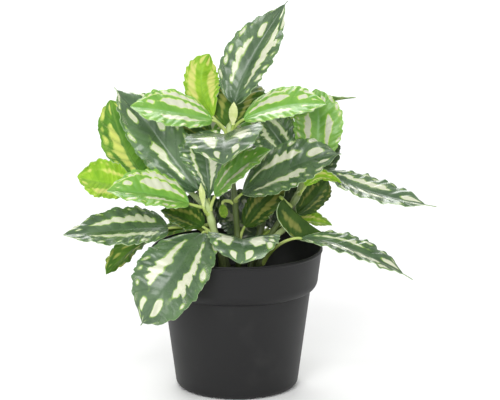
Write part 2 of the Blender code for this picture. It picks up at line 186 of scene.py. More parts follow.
# Fine grain that the mould leaves on plastic: Height for a Bump node, and Cloud, soft uneven patches
moulded_grain, grain_in, grain_out = new_group(
    "moulded grain", {"Grain per mm": 3.0, "Patch per mm": 0.05}, ("Height", "Cloud"))
grain_place = add_node(moulded_grain, "ShaderNodeTexCoord").outputs["Object"]
for output, share, detail in (("Height", "Grain per mm", 2.0), ("Cloud", "Patch per mm", 3.0)):
    scale = calc(moulded_grain, "MULTIPLY", grain_in[share], 1.0 / MM)
    texture = add_node(moulded_grain, "ShaderNodeTexNoise",
                       {"Vector": grain_place, "Scale": scale, "Detail": detail})
    moulded_grain.links.new(texture.outputs["Fac"], grain_out[output])

black_plastic, tree, shader = new_material("black pot plastic")
grain = place_group(tree, moulded_grain, **{"Grain per mm": 2.2, "Patch per mm": 0.04})
scuff = ramp(tree, grain["Cloud"], 0.55, 0.8)
tree.links.new(blend_colour(tree, scuff, POT_BLACK, POT_SCUFF), shader.inputs["Base Color"])
tree.links.new(calc(tree, "MULTIPLY_ADD", grain["Cloud"], 0.16, 0.44), shader.inputs["Roughness"])
shader.inputs["Specular IOR Level"].default_value = 0.32
bump = add_node(tree, "ShaderNodeBump", {"Height": grain["Height"], "Strength": 0.12, "Distance": 0.1 * MM})
tree.links.new(bump.outputs[0], shader.inputs["Normal"])

collar_slope = (RIM_RADIUS - COLLAR_LOW_RADIUS) / (POT_HEIGHT - COLLAR_LOW_HEIGHT)
collar_start = COLLAR_LOW_HEIGHT + UNDERSIDE_ROUND
collar_start_radius = COLLAR_LOW_RADIUS + collar_slope * UNDERSIDE_ROUND
inside = [(0.0, FLOOR), (FOOT_RADIUS - WALL - INSIDE_FILLET, FLOOR),
          (FOOT_RADIUS - WALL, FLOOR + INSIDE_FILLET), (BODY_TOP_RADIUS - WALL, BODY_TOP_HEIGHT),
          (COLLAR_LOW_RADIUS - WALL, COLLAR_LOW_HEIGHT + COLLAR_STEP_INSIDE)]
rim = arc((RIM_RADIUS - RIM_ROUND - RIM_INSET, POT_HEIGHT - RIM_ROUND), (RIM_ROUND, RIM_ROUND),
          180.0, 0.0, 8)
bead = [(RIM_RADIUS + out, POT_HEIGHT - RIM_ROUND - down) for out, down in RIM_BEAD]
collar = straight((RIM_RADIUS - RIM_INSET, POT_HEIGHT - RIM_DEPTH), (collar_start_radius, collar_start), 4)
under = arc((BODY_TOP_RADIUS, collar_start),
            (collar_start_radius - BODY_TOP_RADIUS, collar_start - BODY_TOP_HEIGHT), 0.0, -90.0, 10)
wall = straight((BODY_TOP_RADIUS, BODY_TOP_HEIGHT - UNDERSIDE_STEP), (FOOT_RADIUS, FOOT_FILLET), 6)
foot = arc((FOOT_RADIUS - FOOT_FILLET, FOOT_FILLET), (FOOT_FILLET, FOOT_FILLET), 0.0, -90.0, 8)
pot_mesh = turned_mesh("pot", inside + rim + bead + collar + under + wall + foot + [(0.0, 0.0)], POT_TURNS)
pot = add_piece("pot_shell", pot_mesh, "pot", "pot")
pot_mesh.materials.append(black_plastic)


def cut_away(piece, cutter_bm):
    """Takes the cutter's volume out of a piece's mesh, for good."""
    mesh = bpy.data.meshes.new("cutter")
    cutter_bm.to_mesh(mesh)
    cutter_bm.free()
    cutter = bpy.data.objects.new("cutter", mesh)
    bpy.context.scene.collection.objects.link(cutter)
    boolean = piece.modifiers.new("cut", "BOOLEAN")
    boolean.object = cutter
    boolean.operation = "DIFFERENCE"
    cut_mesh = bpy.data.meshes.new_from_object(piece.evaluated_get(bpy.context.evaluated_depsgraph_get()))
    piece.modifiers.clear()
    piece.data = cut_mesh
    bpy.data.objects.remove(cutter, do_unlink=True)


notches = bmesh.new()
drains = bmesh.new()
for i in range(NOTCHES):
    turn = math.radians(FIRST_NOTCH_ANGLE + 360.0 * i / NOTCHES)
    outward = np.array((math.cos(turn), math.sin(turn)))
    length = FOOT_RADIUS + NOTCH_OVERRUN - NOTCH_START
    middle = outward * (NOTCH_START + length / 2)
    box = bmesh.ops.create_cube(notches, size=1.0)["verts"]
    for vert in box:
        x, y, z = vert.co
        x, y = x * length, y * NOTCH_WIDTH
        vert.co = ((middle[0] + x * outward[0] - y * outward[1]) * MM,
                   (middle[1] + x * outward[1] + y * outward[0]) * MM, z * 2.0 * NOTCH_HEIGHT * MM)
    rod = bmesh.ops.create_cone(drains, cap_ends=True, segments=DRAIN_SIDES, radius1=DRAIN_RADIUS * MM,
                                radius2=DRAIN_RADIUS * MM, depth=3.0 * FLOOR * MM)["verts"]
    for vert in rod:
        vert.co.x += outward[0] * (NOTCH_START + DRAIN_INSET) * MM
        vert.co.y += outward[1] * (NOTCH_START + DRAIN_INSET) * MM
cut_away(pot, notches)
cut_away(pot, drains)
pot.data.set_sharp_from_angle(angle=math.radians(35))

# Filler that fills the pot below the collar and grips the stems: rough black foam with a crumbly
# crowned top, set a little below the rim.
FILLER_TOP = 58.0
FILLER_CROWN = 2.0
FILLER_GAP = 0.5
FILLER_EDGE_DROP = 1.5
FILLER_CHAMFER = 2.5
FILLER_TURNS = 128
CROWN_STEPS = 40
CRUMB_HEIGHT = 0.275
FOAM_BLACK = (0.010, 0.009, 0.008, 1.0)
FOAM_BROWN = (0.030, 0.024, 0.018, 1.0)

black_foam, tree, shader = new_material("black foam")
place = add_node(tree, "ShaderNodeTexCoord").outputs["Object"]
crumb = add_node(tree, "ShaderNodeTexVoronoi", {"Vector": place, "Scale": 0.55 / MM, "Randomness": 1.0})
speck = add_node(tree, "ShaderNodeTexNoise", {"Vector": place, "Scale": 0.9 / MM, "Detail": 4.0})
tree.links.new(blend_colour(tree, ramp(tree, speck.outputs["Fac"], 0.45, 0.75), FOAM_BLACK, FOAM_BROWN),
               shader.inputs["Base Color"])
shader.inputs["Specular IOR Level"].default_value = 0.25
tree.links.new(calc(tree, "MULTIPLY_ADD", speck.outputs["Fac"], 0.2, 0.8), shader.inputs["Roughness"])
bump = add_node(tree, "ShaderNodeBump",
                {"Height": crumb.outputs["Distance"], "Strength": 0.7, "Distance": 0.6 * MM})
tree.links.new(bump.outputs[0], shader.inputs["Normal"])

filler_edge = BODY_TOP_RADIUS - WALL - FILLER_GAP
crown = [(filler_edge * math.sin(a), FILLER_TOP - FILLER_CROWN + FILLER_CROWN * math.cos(a))
         for a in np.linspace(0.0, math.pi / 2, CROWN_STEPS)]
low_edge = FOOT_RADIUS - WALL - 2.0 * FILLER_GAP
low_face = FLOOR + FILLER_GAP
filler_foot = [(filler_edge, BODY_TOP_HEIGHT - FILLER_EDGE_DROP), (low_edge, low_face + FILLER_CHAMFER),
               (low_edge - FILLER_CHAMFER, low_face), (0.0, low_face)]
filler_mesh = turned_mesh("filler", crown + filler_foot, FILLER_TURNS)
for vert in filler_mesh.vertices:
    x, y, z = (c / MM for c in vert.co)
    if z > FILLER_TOP - FILLER_CROWN:
        lump = math.sin(x * 1.3 + 2.0 * math.sin(y * 0.7)) + math.sin(y * 1.7 + 2.0 * math.sin(x * 0.9))
        vert.co.z += (lump / 2 - 1.0) * CRUMB_HEIGHT * MM
filler_mesh.materials.append(black_foam)
add_piece("filler", filler_mesh, "plug", "plug")

# Stems, moulded in soft plastic over a wire: olive brown low down, pale green towards the shoots,
# with raised ribs along them and a thickened joint wherever leaf stalks come off.
STEM_SIDES = 20
STEM_RIBS = 5
STEM_RIB_HEIGHT = 0.13
STEM_STEPS = 14
JOINT_SWELL = 0.5
JOINT_LENGTH = 2.2
SHOOT_GREEN = (0.40, 0.50, 0.20, 1.0)
STEM_OLIVE = (0.085, 0.125, 0.028, 1.0)
STEM_BROWN = (0.055, 0.060, 0.020, 1.0)
STEM_BROWN_HEIGHT = 70.0
# How far below and above its height each colour change reaches, and how far the streaks pull it
SHOOT_FADE = (22.0, 8.0)
BROWN_FADE = (6.0, 22.0)
STREAK_PULL = 14.0
STREAK_STRETCH = 0.12
# Shares of a stem's radius at its last points, which round off its end
STEM_END = (0.95, 0.82, 0.6, 0.3)
# Points that each stem passes through: x, y, z and radius
STEMS = {
    "stem_centre": [(1, 1, 44, 1.5), (1, 1, 60, 1.6), (0.5, 0, 78, 1.6), (-1, 0, 99, 1.6),
                    (-3, 1, 118, 1.4), (-4, 0, 137, 1.6), (-3, 0, 141, 1.2)],
    "stem_left_front": [(-6, -10, 44, 1.4), (-6, -10, 60, 1.5), (-9, -12, 77, 1.6), (-12, -13, 87, 1.7),
                        (-15, -13, 99, 1.6), (-17, -13, 104, 1.2)],
    "stem_left": [(-8, 5, 44, 1.3), (-8, 5, 60, 1.4), (-10, 5, 76, 1.4), (-15, 5, 92, 1.4),
                  (-26, 8, 104, 1.3), (-40, 12, 112, 1.1)],
    "stem_right": [(10, 0, 44, 1.4), (10, 0, 60, 1.5), (14, -1, 74, 1.5), (22, -1, 88, 1.5),
                   (31, -1, 101, 1.4), (36, 2, 112, 1.2)],
    "stem_right_low": [(9, -11, 44, 1.4), (9, -11, 60, 1.5), (13, -12.5, 70, 1.5), (18, -8, 80, 1.3),
                       (26, -3, 86, 1.1)],
    "stem_back_right": [(7, 11, 44, 1.5), (7, 11, 60, 1.6), (12, 16, 78, 1.6), (17, 24, 100, 1.5),
                        (18, 28, 118, 1.2)],
    "stem_back_left": [(-5, 13, 44, 1.5), (-5, 13, 60, 1.6), (-12, 18, 78, 1.6), (-20, 26, 100, 1.5),
                       (-22, 30, 118, 1.2)],
}
# Height at which each stem turns from olive to the pale green of its shoot
SHOOT_HEIGHTS = {"stem_centre": 132.0, "stem_left_front": 82.0, "stem_left": 112.0, "stem_right": 118.0,
                 "stem_right_low": 96.0, "stem_back_right": 124.0, "stem_back_left": 124.0}
# Heights of the thickened joints
STEM_JOINTS = {"stem_centre": (74, 80, 100, 118, 132, 137), "stem_left_front": (83, 92, 99),
               "stem_left": (72, 86, 92, 111), "stem_right": (101, 107, 111),
               "stem_right_low": (69, 73, 85), "stem_back_right": (69, 76, 82, 99, 116),
               "stem_back_left": (69, 78, 97, 103, 116)}


def stem_material(name, shoot_height):
    """Streaked stem plastic, brown at the filler, then olive, then the pale green of its shoot."""
    material, tree, shader = new_material(name)
    place = add_node(tree, "ShaderNodeTexCoord").outputs["Object"]
    height = add_node(tree, "ShaderNodeSeparateXYZ", {0: place}).outputs["Z"]
    streak_place = add_node(tree, "ShaderNodeMapping",
                            {"Vector": place, "Scale": (1.0, 1.0, STREAK_STRETCH)})
    streak = add_node(tree, "ShaderNodeTexNoise",
                      {"Vector": streak_place.outputs[0], "Scale": 0.9 / MM, "Detail": 3.0}).outputs["Fac"]
    mottled = calc(tree, "MULTIPLY_ADD", streak, STREAK_PULL * MM, height)
    pale = ramp(tree, mottled, (shoot_height - SHOOT_FADE[0]) * MM, (shoot_height + SHOOT_FADE[1]) * MM)
    brown = ramp(tree, mottled, (STEM_BROWN_HEIGHT + BROWN_FADE[1]) * MM,
                 (STEM_BROWN_HEIGHT - BROWN_FADE[0]) * MM)
    colour = blend_colour(tree, pale, STEM_OLIVE, SHOOT_GREEN)
    colour = blend_colour(tree, calc(tree, "MULTIPLY", brown, streak), colour, STEM_BROWN)
    tree.links.new(colour, shader.inputs["Base Color"])
    tree.links.new(calc(tree, "MULTIPLY_ADD", streak, 0.2, 0.35), shader.inputs["Roughness"])
    bump = add_node(tree, "ShaderNodeBump", {"Height": streak, "Strength": 0.3, "Distance": 0.15 * MM})
    tree.links.new(bump.outputs[0], shader.inputs["Normal"])
    return material


def smooth_path(points, steps):
    """A curve through the points (Catmull-Rom), each a row of x, y, z and radius."""
    rows = np.array([points[0], *points, points[-1]], float)
    path = []
    for a, b, c, d in zip(rows, rows[1:], rows[2:], rows[3:]):
        for t in np.arange(steps) / steps:
            bend = (2 * a - 5 * b + 4 * c - d) * t * t + (3 * b - a - 3 * c + d) * t ** 3
            path.append(b + 0.5 * ((c - a) * t + bend))
    path.append(rows[-1])
    return np.array(path)


def unit(vectors):
    """The vectors at length 1."""
    return vectors / np.linalg.norm(vectors, axis=-1, keepdims=True)


def tube(path, radii, sides, rib=0.0, ribs=0):
    """Vertices and faces of a closed round tube, with ribs along it if asked."""
    along = unit(np.gradient(path, axis=0))
    across = [unit(np.cross(along[0], (0.3, 1.0, 0.2)))]
    for direction in along[1:]:
        across.append(unit(across[-1] - direction * across[-1].dot(direction)))
    across = np.array(across)
    other = np.cross(along, across)
    turn = np.linspace(0.0, math.tau, sides, endpoint=False)
    swell = radii[:, None] + rib * np.cos(turn * ribs)[None, :] if ribs else radii[:, None] * np.ones(sides)
    rings = (path[:, None, :] + across[:, None, :] * (swell * np.cos(turn))[:, :, None]
             + other[:, None, :] * (swell * np.sin(turn))[:, :, None])
    faces = []
    for i in range(len(path) - 1):
        for k in range(sides):
            n = (k + 1) % sides
            faces.append((i * sides + k, i * sides + n, (i + 1) * sides + n, (i + 1) * sides + k))
    faces.append(tuple(range(sides))[::-1])
    faces.append(tuple(range((len(path) - 1) * sides, len(path) * sides)))
    return rings.reshape(-1, 3), faces


def make_mesh(name, verts, faces):
    """A smooth mesh from vertices in millimetres."""
    mesh = bpy.data.meshes.new(name)
    mesh.from_pydata((verts * MM).tolist(), [], faces)
    mesh.shade_smooth()
    return mesh


stem_paths = {name: smooth_path(points, STEM_STEPS) for name, points in STEMS.items()}
for name, path in stem_paths.items():
    radii = path[:, 3].copy()
    for joint in STEM_JOINTS[name]:
        radii += JOINT_SWELL * np.exp(-((path[:, 2] - joint) / JOINT_LENGTH) ** 2)
    radii[-len(STEM_END):] *= STEM_END
    verts, faces = tube(path[:, :3], radii, STEM_SIDES, STEM_RIB_HEIGHT, STEM_RIBS)
    mesh = make_mesh(name, verts, faces)
    mesh.materials.append(stem_material(name + " plastic", SHOOT_HEIGHTS[name]))
    add_piece(name + "_moulding", mesh, "stem_pale" if name == "stem_left_front" else "stem_dark", name)

# Top whorl, the six leaves round the main stem's end. Each leaf is a thin blade stamped from printed
# sheet, with a toothed margin and pressed-in side veins, its pale edge left bare by the cutter, and a
# moulded stalk that runs on under the blade as its midrib.
LEAF_THICKNESS = 0.4
STALK_HALF_WIDTH = 0.9
TIP_HALF_WIDTH = 0.22
STALK_CLEARANCE = 1.3
STALK_SIDES = 10
STALK_STEPS = 14
# Radius of the stalk at the stem and at the blade, and of its first points, where it is thicker
STALK_RADII = (1.0, 0.7)
STALK_FOOT_RADII = (1.5, 1.25)
# Radius that the rib thins out to, what it adds at the blade's base, and how fast that fades
RIB_RADIUS = 0.12
RIB_SWELL = 0.5
RIB_FADE = 0.12
TOOTH_DEPTH = 1.1
QUILT_HEIGHT = 0.55
PLEAT_HEIGHT = 0.35
RUFFLE_LENGTH = 12.0
CURL_DROP = 4.0
# Angle in degrees that each half of a blade rises from its midrib, and how much of that rise is arched
FOLD = 10.0
ARCH = 0.9
# Where the mesh has its columns, as shares of a half blade, and the distance between its rows
ACROSS = (0.0, 0.05, 0.12, 0.2, 0.29, 0.38, 0.48, 0.58, 0.68, 0.77, 0.84, 0.9, 0.95, 1.0)
STATION_LENGTH = 0.42
# Side veins on a half blade, how far they run towards the tip, and the place between two of them where a
# tooth is longest. Lengths along a blade are shares of its length from the stalk.
SIDE_VEINS = 10.0
VEIN_SLANT = 0.2
TOOTH_PEAK = 0.74
SMALL_TOOTH_PEAK = 0.7
RIB_END = 0.6
# Print on a blade, with places across as shares of its half-width from the midrib
MIDRIB_TINT = 0.08
MARGIN_TINT = 0.85
PRINT_WOBBLE = 0.09
STRIPE_SWAY = 0.16
STRIPE_END_LENGTH = 0.11
INNER_LOBE = 0.13
OUTER_LOBE = 0.24
BLOT_CORNERS = 1.5
BLOT_STRETCH = 2.9
SMALL_BLOT_STRETCH = 3.0
SMALL_BLOT_AHEAD = 0.14
SPOTS_ALONG = 8.0
SPOT_LINE = 0.79
SPOT_STRETCH = 0.33
SPOTS_FROM, SPOTS_TO = 0.10, 0.92
EDGE_LINE = 0.74
EDGE_HALF_WIDTH = 0.085
BLOCK_LINE = 0.77
BLOCK_STRETCH = 0.42
BLOCK_HALF_LENGTH = 0.10
PRINT_MAP = "print"
# Order of a leaf's materials on its mesh
UPPER, UNDER, CUT, STALK = range(4)
rng = np.random.default_rng(7)


def leaf_print_group():
    """Where the cream print lies on a blade. Across runs from -1 to 1 and along from stalk to tip.

    The blade's mesh carries what differs from leaf to leaf: seed, tone (painted light that scales the
    colour, below 1 painted shade and above 1 a painted sheen), vein (counts the side veins), edge (strength
    of the margin's stripe), start (of the stripe), stripe (end, width, distance from the midrib), taper (0
    widens the stripe towards its end, 1 thins it) and blot (place along, distance from the midrib, size).
    Cream, each of its parts and reach are above 0 inside the print.
    """
    group, given, out = new_group("leaf print", {"Feather": 1.0, "Softness": 0.012, "Grow End": 0.46},
                                  ("Cream", "Halo", "Midrib", "Vein", "Bulge", "Cloud", "Margin", "Painted Light Tone"))

    def maths(*operations):
        """A function for each Math operation, which adds its node and gives the result."""
        return [partial(calc, group, operation) for operation in operations]

    # Scaled is a value times a factor plus an offset, and rise is 0 below low and 1 above high
    times, divided, plus, minus, scaled = maths("MULTIPLY", "DIVIDE", "ADD", "SUBTRACT", "MULTIPLY_ADD")
    lower, higher, absolute, power = maths("MINIMUM", "MAXIMUM", "ABSOLUTE", "POWER")
    whole_part, fraction, sine, root, above = maths("FLOOR", "FRACT", "SINE", "SQRT", "GREATER_THAN")
    rise = partial(ramp, group)

    def joined(x, y, z):
        """A vector of three values."""
        return add_node(group, "ShaderNodeCombineXYZ", {0: x, 1: y, 2: z}).outputs[0]

    def luck_at(x, y, z):
        """Three chance values that are the same wherever x, y and z are."""
        noise = add_node(group, "ShaderNodeTexWhiteNoise", {"Vector": joined(x, y, z)},
                         noise_dimensions="3D").outputs["Color"]
        return add_node(group, "ShaderNodeSeparateColor", {0: noise}).outputs

    def carried(name):
        """What the blade's mesh carries under a name."""
        return add_node(group, "ShaderNodeAttribute", attribute_name=name).outputs

    def carried_parts(name):
        """The X, Y and Z of a vector that the mesh carries."""
        return add_node(group, "ShaderNodeSeparateXYZ", {0: carried(name)["Vector"]}).outputs

    print_uv = add_node(group, "ShaderNodeUVMap", uv_map=PRINT_MAP).outputs[0]
    place = add_node(group, "ShaderNodeSeparateXYZ", {0: print_uv}).outputs
    seed = carried("seed")["Fac"]
    across = scaled(place["X"], 2.0, -1.0)
    along = place["Y"]
    out_share = absolute(across)
    side = above(across, 0.0)
    luck = luck_at(seed, side, 0.0)
    blade_place = joined(across, times(along, 3.4), times(seed, 31.0))

    def soft_noise(scale, detail):
        """Soft uneven patches over the blade, from 0 to 1."""
        inputs = {"Vector": blade_place, "Scale": scale, "Detail": detail}
        return add_node(group, "ShaderNodeTexNoise", inputs).outputs["Fac"]

    wobble = minus(soft_noise(5.0, 3.0), 0.5)
    sway = minus(soft_noise(1.9, 1.0), 0.5)

    # Fields between the side veins. The print's edges bulge out once in each, by a different amount.
    vein = carried("vein")["Fac"]
    slanted = scaled(out_share, -VEIN_SLANT, along)
    field_place = scaled(wobble, 0.9, vein)
    field = fraction(field_place)
    field_luck = luck_at(whole_part(field_place), seed, side)
    lobe = times(rise(field, 0.0, 0.6), minus(1.0, rise(field, 0.72, 1.0)))
    lobe = times(lobe, given["Feather"])

    # Long stripe beside the midrib. It widens from a thin start to a short end, or tapers to the tip.
    stripe_set = carried_parts("stripe")
    end = stripe_set["X"]
    inputs = {"Value": slanted, "From Min": -0.04, "From Max": given["Grow End"], "To Min": 0.1,
              "To Max": 1.0}
    grow = add_node(group, "ShaderNodeMapRange", inputs).outputs[0]
    end_cut = minus(1.0, rise(minus(slanted, end), -STRIPE_END_LENGTH, 0.0))
    fall = minus(1.0, times(divided(slanted, end), 0.8))
    fall = times(times(fall, 1.25), rise(along, 0.04, 0.2))
    swell = times(scaled(carried("taper")["Fac"], minus(fall, grow), grow), end_cut)
    half_width = times(stripe_set["Y"], 0.5)
    middle = scaled(sway, STRIPE_SWAY, stripe_set["Z"])
    inner = plus(half_width, times(scaled(field_luck[0], INNER_LOBE, -0.03), lobe))
    outer = plus(half_width, times(scaled(field_luck[1], OUTER_LOBE, -0.03), lobe))
    inner = plus(minus(out_share, middle), times(swell, inner))
    outer = minus(plus(middle, times(swell, outer)), out_share)
    stripe = lower(inner, outer)
    stripe = lower(stripe, scaled(end_cut, 0.4, -0.05))
    stripe = lower(stripe, times(minus(along, carried("start")["Fac"]), 2.0))

    # Blot past the stripe's end, and a small one near the tip
    def blot(from_midrib, place_along, size, stretch):
        """Above 0 inside a blot, whose shape is between a diamond and an ellipse."""
        x = absolute(minus(out_share, from_midrib))
        y = times(absolute(minus(slanted, place_along)), stretch)
        reach = power(plus(power(x, BLOT_CORNERS), power(y, BLOT_CORNERS)), 1.0 / BLOT_CORNERS)
        return minus(size, reach)

    blot_set = carried_parts("blot")
    big_blot = blot(blot_set["Y"], blot_set["X"], blot_set["Z"], BLOT_STRETCH)
    small_blot = blot(scaled(luck[2], 0.16, 0.22), plus(blot_set["X"], SMALL_BLOT_AHEAD),
                      scaled(luck[0], 0.12, -0.03), SMALL_BLOT_STRETCH)

    # Row of spots inside the margin, larger towards the tip
    spot_place = scaled(slanted, SPOTS_ALONG, times(luck[0], 3.0))
    spot_luck = luck_at(whole_part(spot_place), plus(seed, 2.0), side)
    spot_size = scaled(spot_luck[0], 0.11, -0.022)
    spot_size = times(spot_size, scaled(rise(along, 0.65, 0.95), 0.9, 1.0))
    spot_x = minus(out_share, scaled(spot_luck[1], 0.12, SPOT_LINE))
    spot_y = times(minus(fraction(spot_place), scaled(spot_luck[2], 0.4, 0.3)), SPOT_STRETCH)
    spot_reach = root(plus(times(spot_x, spot_x), times(spot_y, spot_y)))
    spot_span = lower(minus(along, SPOTS_FROM), minus(SPOTS_TO, along))
    spot = lower(minus(spot_size, spot_reach), spot_span)

    # Stripe along the margin of a young leaf, and past its end a few blocks, one to a field
    edge_wide = times(rise(along, 0.0, 0.28), minus(1.0, rise(slanted, 0.32, 0.46)))
    edge_place = absolute(minus(scaled(sway, 0.1, out_share), EDGE_LINE))
    edge_band = minus(times(edge_wide, EDGE_HALF_WIDTH), edge_place)
    block_span = times(rise(slanted, 0.28, 0.36), minus(1.0, rise(slanted, 0.54, 0.70)))
    block_size = times(block_span, scaled(field_luck[2], 0.18, 0.02))
    block_x = absolute(minus(out_share, BLOCK_LINE))
    block_y = times(absolute(minus(field, 0.5)), BLOCK_STRETCH)
    block = lower(minus(block_size, block_x), minus(BLOCK_HALF_LENGTH, block_y))
    edge = minus(higher(edge_band, block), scaled(carried("edge")["Fac"], -0.3, 0.3))

    reach = stripe
    for part in (big_blot, small_blot, spot, edge):
        reach = higher(reach, part)
    reach = scaled(wobble, PRINT_WOBBLE, reach)
    vein_line = minus(0.5, absolute(minus(fraction(vein), 0.5)))
    results = {"Cream": rise(divided(reach, given["Softness"]), -1.0, 1.0),
               "Halo": rise(reach, -0.05, -0.008),
               "Midrib": minus(1.0, rise(out_share, 0.0, MIDRIB_TINT)),
               "Vein": minus(1.0, rise(vein_line, 0.0, 0.12)),
               "Bulge": absolute(sine(times(vein, math.pi))),
               "Cloud": soft_noise(1.4, 3.0),
               "Margin": rise(out_share, MARGIN_TINT, 1.0),
               "Painted Light Tone": carried("painted_light_tone")["Fac"]}
    for key, value in results.items():
        group.links.new(value, out[key])
    return group


leaf_print = leaf_print_group()


def blade_material(name, colours, print_values, roughness, gloss, relief, pooled):
    """Printed blade: green, tinted midrib, side veins and margin, and the cream print with its halo.

    Gloss is its specular level and relief its bump. Pooled, from 0 to 1, keeps the print between the side
    veins, as it shines through on an underside."""
    material, tree, shader = new_material(name)
    printed = place_group(tree, leaf_print, **print_values)
    grain = place_group(tree, moulded_grain, **{"Grain per mm": 1.6, "Patch per mm": 0.12})
    cloud = ramp(tree, printed["Cloud"], 0.3, 0.7)
    green = blend_colour(tree, cloud, colours["green"], colours["light green"])
    green = blend_colour(tree, calc(tree, "MULTIPLY", printed["Midrib"], 0.45), green, colours["midrib"])
    green = blend_colour(tree, calc(tree, "MULTIPLY", printed["Vein"], 0.3), green, colours["vein"])
    green = blend_colour(tree, calc(tree, "MULTIPLY", printed["Margin"], 0.45), green, colours["margin"])
    pool = calc(tree, "MULTIPLY_ADD", printed["Bulge"], pooled, 1.0 - pooled)
    green = blend_colour(tree, calc(tree, "MULTIPLY", printed["Halo"], pool), green, colours["halo"])
    colour = blend_colour(tree, calc(tree, "MULTIPLY", printed["Cream"], pool), green, colours["cream"])
    # The colour is scaled by the leaf's tone, which is painted light: below 1 painted shade, above 1 a
    # painted sheen.
    painted_light_colour = add_node(tree, "ShaderNodeVectorMath", {0: colour}, operation="SCALE")
    tree.links.new(printed["Painted Light Tone"], painted_light_colour.inputs["Scale"])
    tree.links.new(painted_light_colour.outputs[0], shader.inputs["Base Color"])
    rough = calc(tree, "MULTIPLY_ADD", grain["Cloud"], 0.14, roughness - 0.07)
    tree.links.new(rough, shader.inputs["Roughness"])
    shader.inputs["Specular IOR Level"].default_value = gloss
    height = calc(tree, "MULTIPLY_ADD", printed["Cream"], 0.25, grain["Height"])
    bump = add_node(tree, "ShaderNodeBump", {"Height": height, "Strength": relief, "Distance": 0.12 * MM})
    tree.links.new(bump.outputs[0], shader.inputs["Normal"])
    return material


DARK_PRINT = {"Feather": 1.0, "Softness": 0.012, "Grow End": 0.46}
BRIGHT_PRINT = {"Feather": 0.35, "Softness": 0.014, "Grow End": 0.30}
dark_top = blade_material("dark blade upper side", {
    "green": (0.054, 0.104, 0.046, 1.0), "light green": (0.098, 0.172, 0.076, 1.0),
    "midrib": (0.110, 0.170, 0.095, 1.0), "vein": (0.030, 0.072, 0.026, 1.0),
    "margin": (0.100, 0.220, 0.055, 1.0), "halo": (0.280, 0.440, 0.090, 1.0),
    "cream": (0.640, 0.655, 0.495, 1.0)},
    DARK_PRINT, roughness=0.28, gloss=0.65, relief=0.25, pooled=0.0)
bright_top = blade_material("bright blade upper side", {
    "green": (0.130, 0.335, 0.036, 1.0), "light green": (0.212, 0.440, 0.066, 1.0),
    "midrib": (0.190, 0.450, 0.100, 1.0), "vein": (0.100, 0.320, 0.035, 1.0),
    "margin": (0.320, 0.620, 0.090, 1.0), "halo": (0.520, 0.700, 0.140, 1.0),
    "cream": (0.620, 0.635, 0.490, 1.0)},
    BRIGHT_PRINT, roughness=0.38, gloss=0.55, relief=0.25, pooled=0.0)
dark_under = blade_material("dark blade underside", {
    "green": (0.060, 0.165, 0.018, 1.0), "light green": (0.120, 0.260, 0.028, 1.0),
    "midrib": (0.170, 0.300, 0.050, 1.0), "vein": (0.045, 0.120, 0.014, 1.0),
    "margin": (0.140, 0.320, 0.035, 1.0), "halo": (0.200, 0.340, 0.045, 1.0),
    "cream": (0.520, 0.560, 0.130, 1.0)},
    {**DARK_PRINT, "Softness": 0.06}, roughness=0.5, gloss=0.15, relief=0.35, pooled=0.4)
bright_under = blade_material("bright blade underside", {
    "green": (0.195, 0.415, 0.019, 1.0), "light green": (0.330, 0.560, 0.036, 1.0),
    "midrib": (0.330, 0.590, 0.050, 1.0), "vein": (0.150, 0.400, 0.015, 1.0),
    "margin": (0.380, 0.640, 0.050, 1.0), "halo": (0.420, 0.640, 0.055, 1.0),
    "cream": (0.700, 0.700, 0.210, 1.0)},
    {**BRIGHT_PRINT, "Softness": 0.08}, roughness=0.5, gloss=0.2, relief=0.35, pooled=0.4)

cut_edge, tree, shader = new_material("bare cut edge")
grain = place_group(tree, moulded_grain, **{"Grain per mm": 1.0, "Patch per mm": 0.3})
tree.links.new(blend_colour(tree, grain["Cloud"], (0.45, 0.58, 0.32, 1.0), (0.28, 0.40, 0.18, 1.0)),
               shader.inputs["Base Color"])
shader.inputs["Roughness"].default_value = 0.6


def soft_plastic(name, deep, pale, grain_per_mm, patch_per_mm):
    """Unprinted soft plastic in two mixed colours, with a fine moulded grain."""
    material, tree, shader = new_material(name)
    grain = place_group(tree, moulded_grain, **{"Grain per mm": grain_per_mm, "Patch per mm": patch_per_mm})
    patches = ramp(tree, grain["Cloud"], 0.35, 0.65)
    tree.links.new(blend_colour(tree, patches, deep, pale), shader.inputs["Base Color"])
    tree.links.new(calc(tree, "MULTIPLY_ADD", grain["Cloud"], 0.15, 0.38), shader.inputs["Roughness"])
    bump = add_node(tree, "ShaderNodeBump",
                    {"Height": grain["Height"], "Strength": 0.2, "Distance": 0.1 * MM})
    tree.links.new(bump.outputs[0], shader.inputs["Normal"])
    return material


stalk_plastic = soft_plastic("stalk plastic", (0.30, 0.42, 0.070, 1.0), (0.50, 0.60, 0.18, 1.0), 1.5, 0.15)


def curve_point(start, control, end, t):
    """Place at t, from 0 to 1, on a curve drawn towards its control point."""
    return start * (1 - t) ** 2 + control * (2 * t * (1 - t)) + end * t ** 2


def curve_direction(start, control, end, t):
    """Direction of that curve at t."""
    return unit((control - start) * (1 - t) + (end - control) * t)


def blade_share(t, widest, full, neck, drip):
    """Half-width along the blade as a share of its widest. Neck thins the base, full keeps the end broad,
    and drip is the length of the thread-like tip."""
    u = np.clip(t / (1 - drip), 0.0, 1.0) ** (math.log(0.5) / math.log(widest))
    power = np.where(u < 0.5, neck, 0.6 - 0.15 * full)
    return (4 * u * (1 - u)) ** power * (1 - 0.75 * u ** (6 + 4 * full))


def smooth_rise(x, low, high):
    """0 below low, 1 above high, and a smooth rise between them."""
    x = np.clip((x - low) / (high - low), 0.0, 1.0)
    return x * x * (3 - 2 * x)


def stem_at(name, height):
    """A stem's centre and radius at a height."""
    path = stem_paths[name]
    return np.array([np.interp(height, path[:, 2], path[:, k]) for k in range(4)])


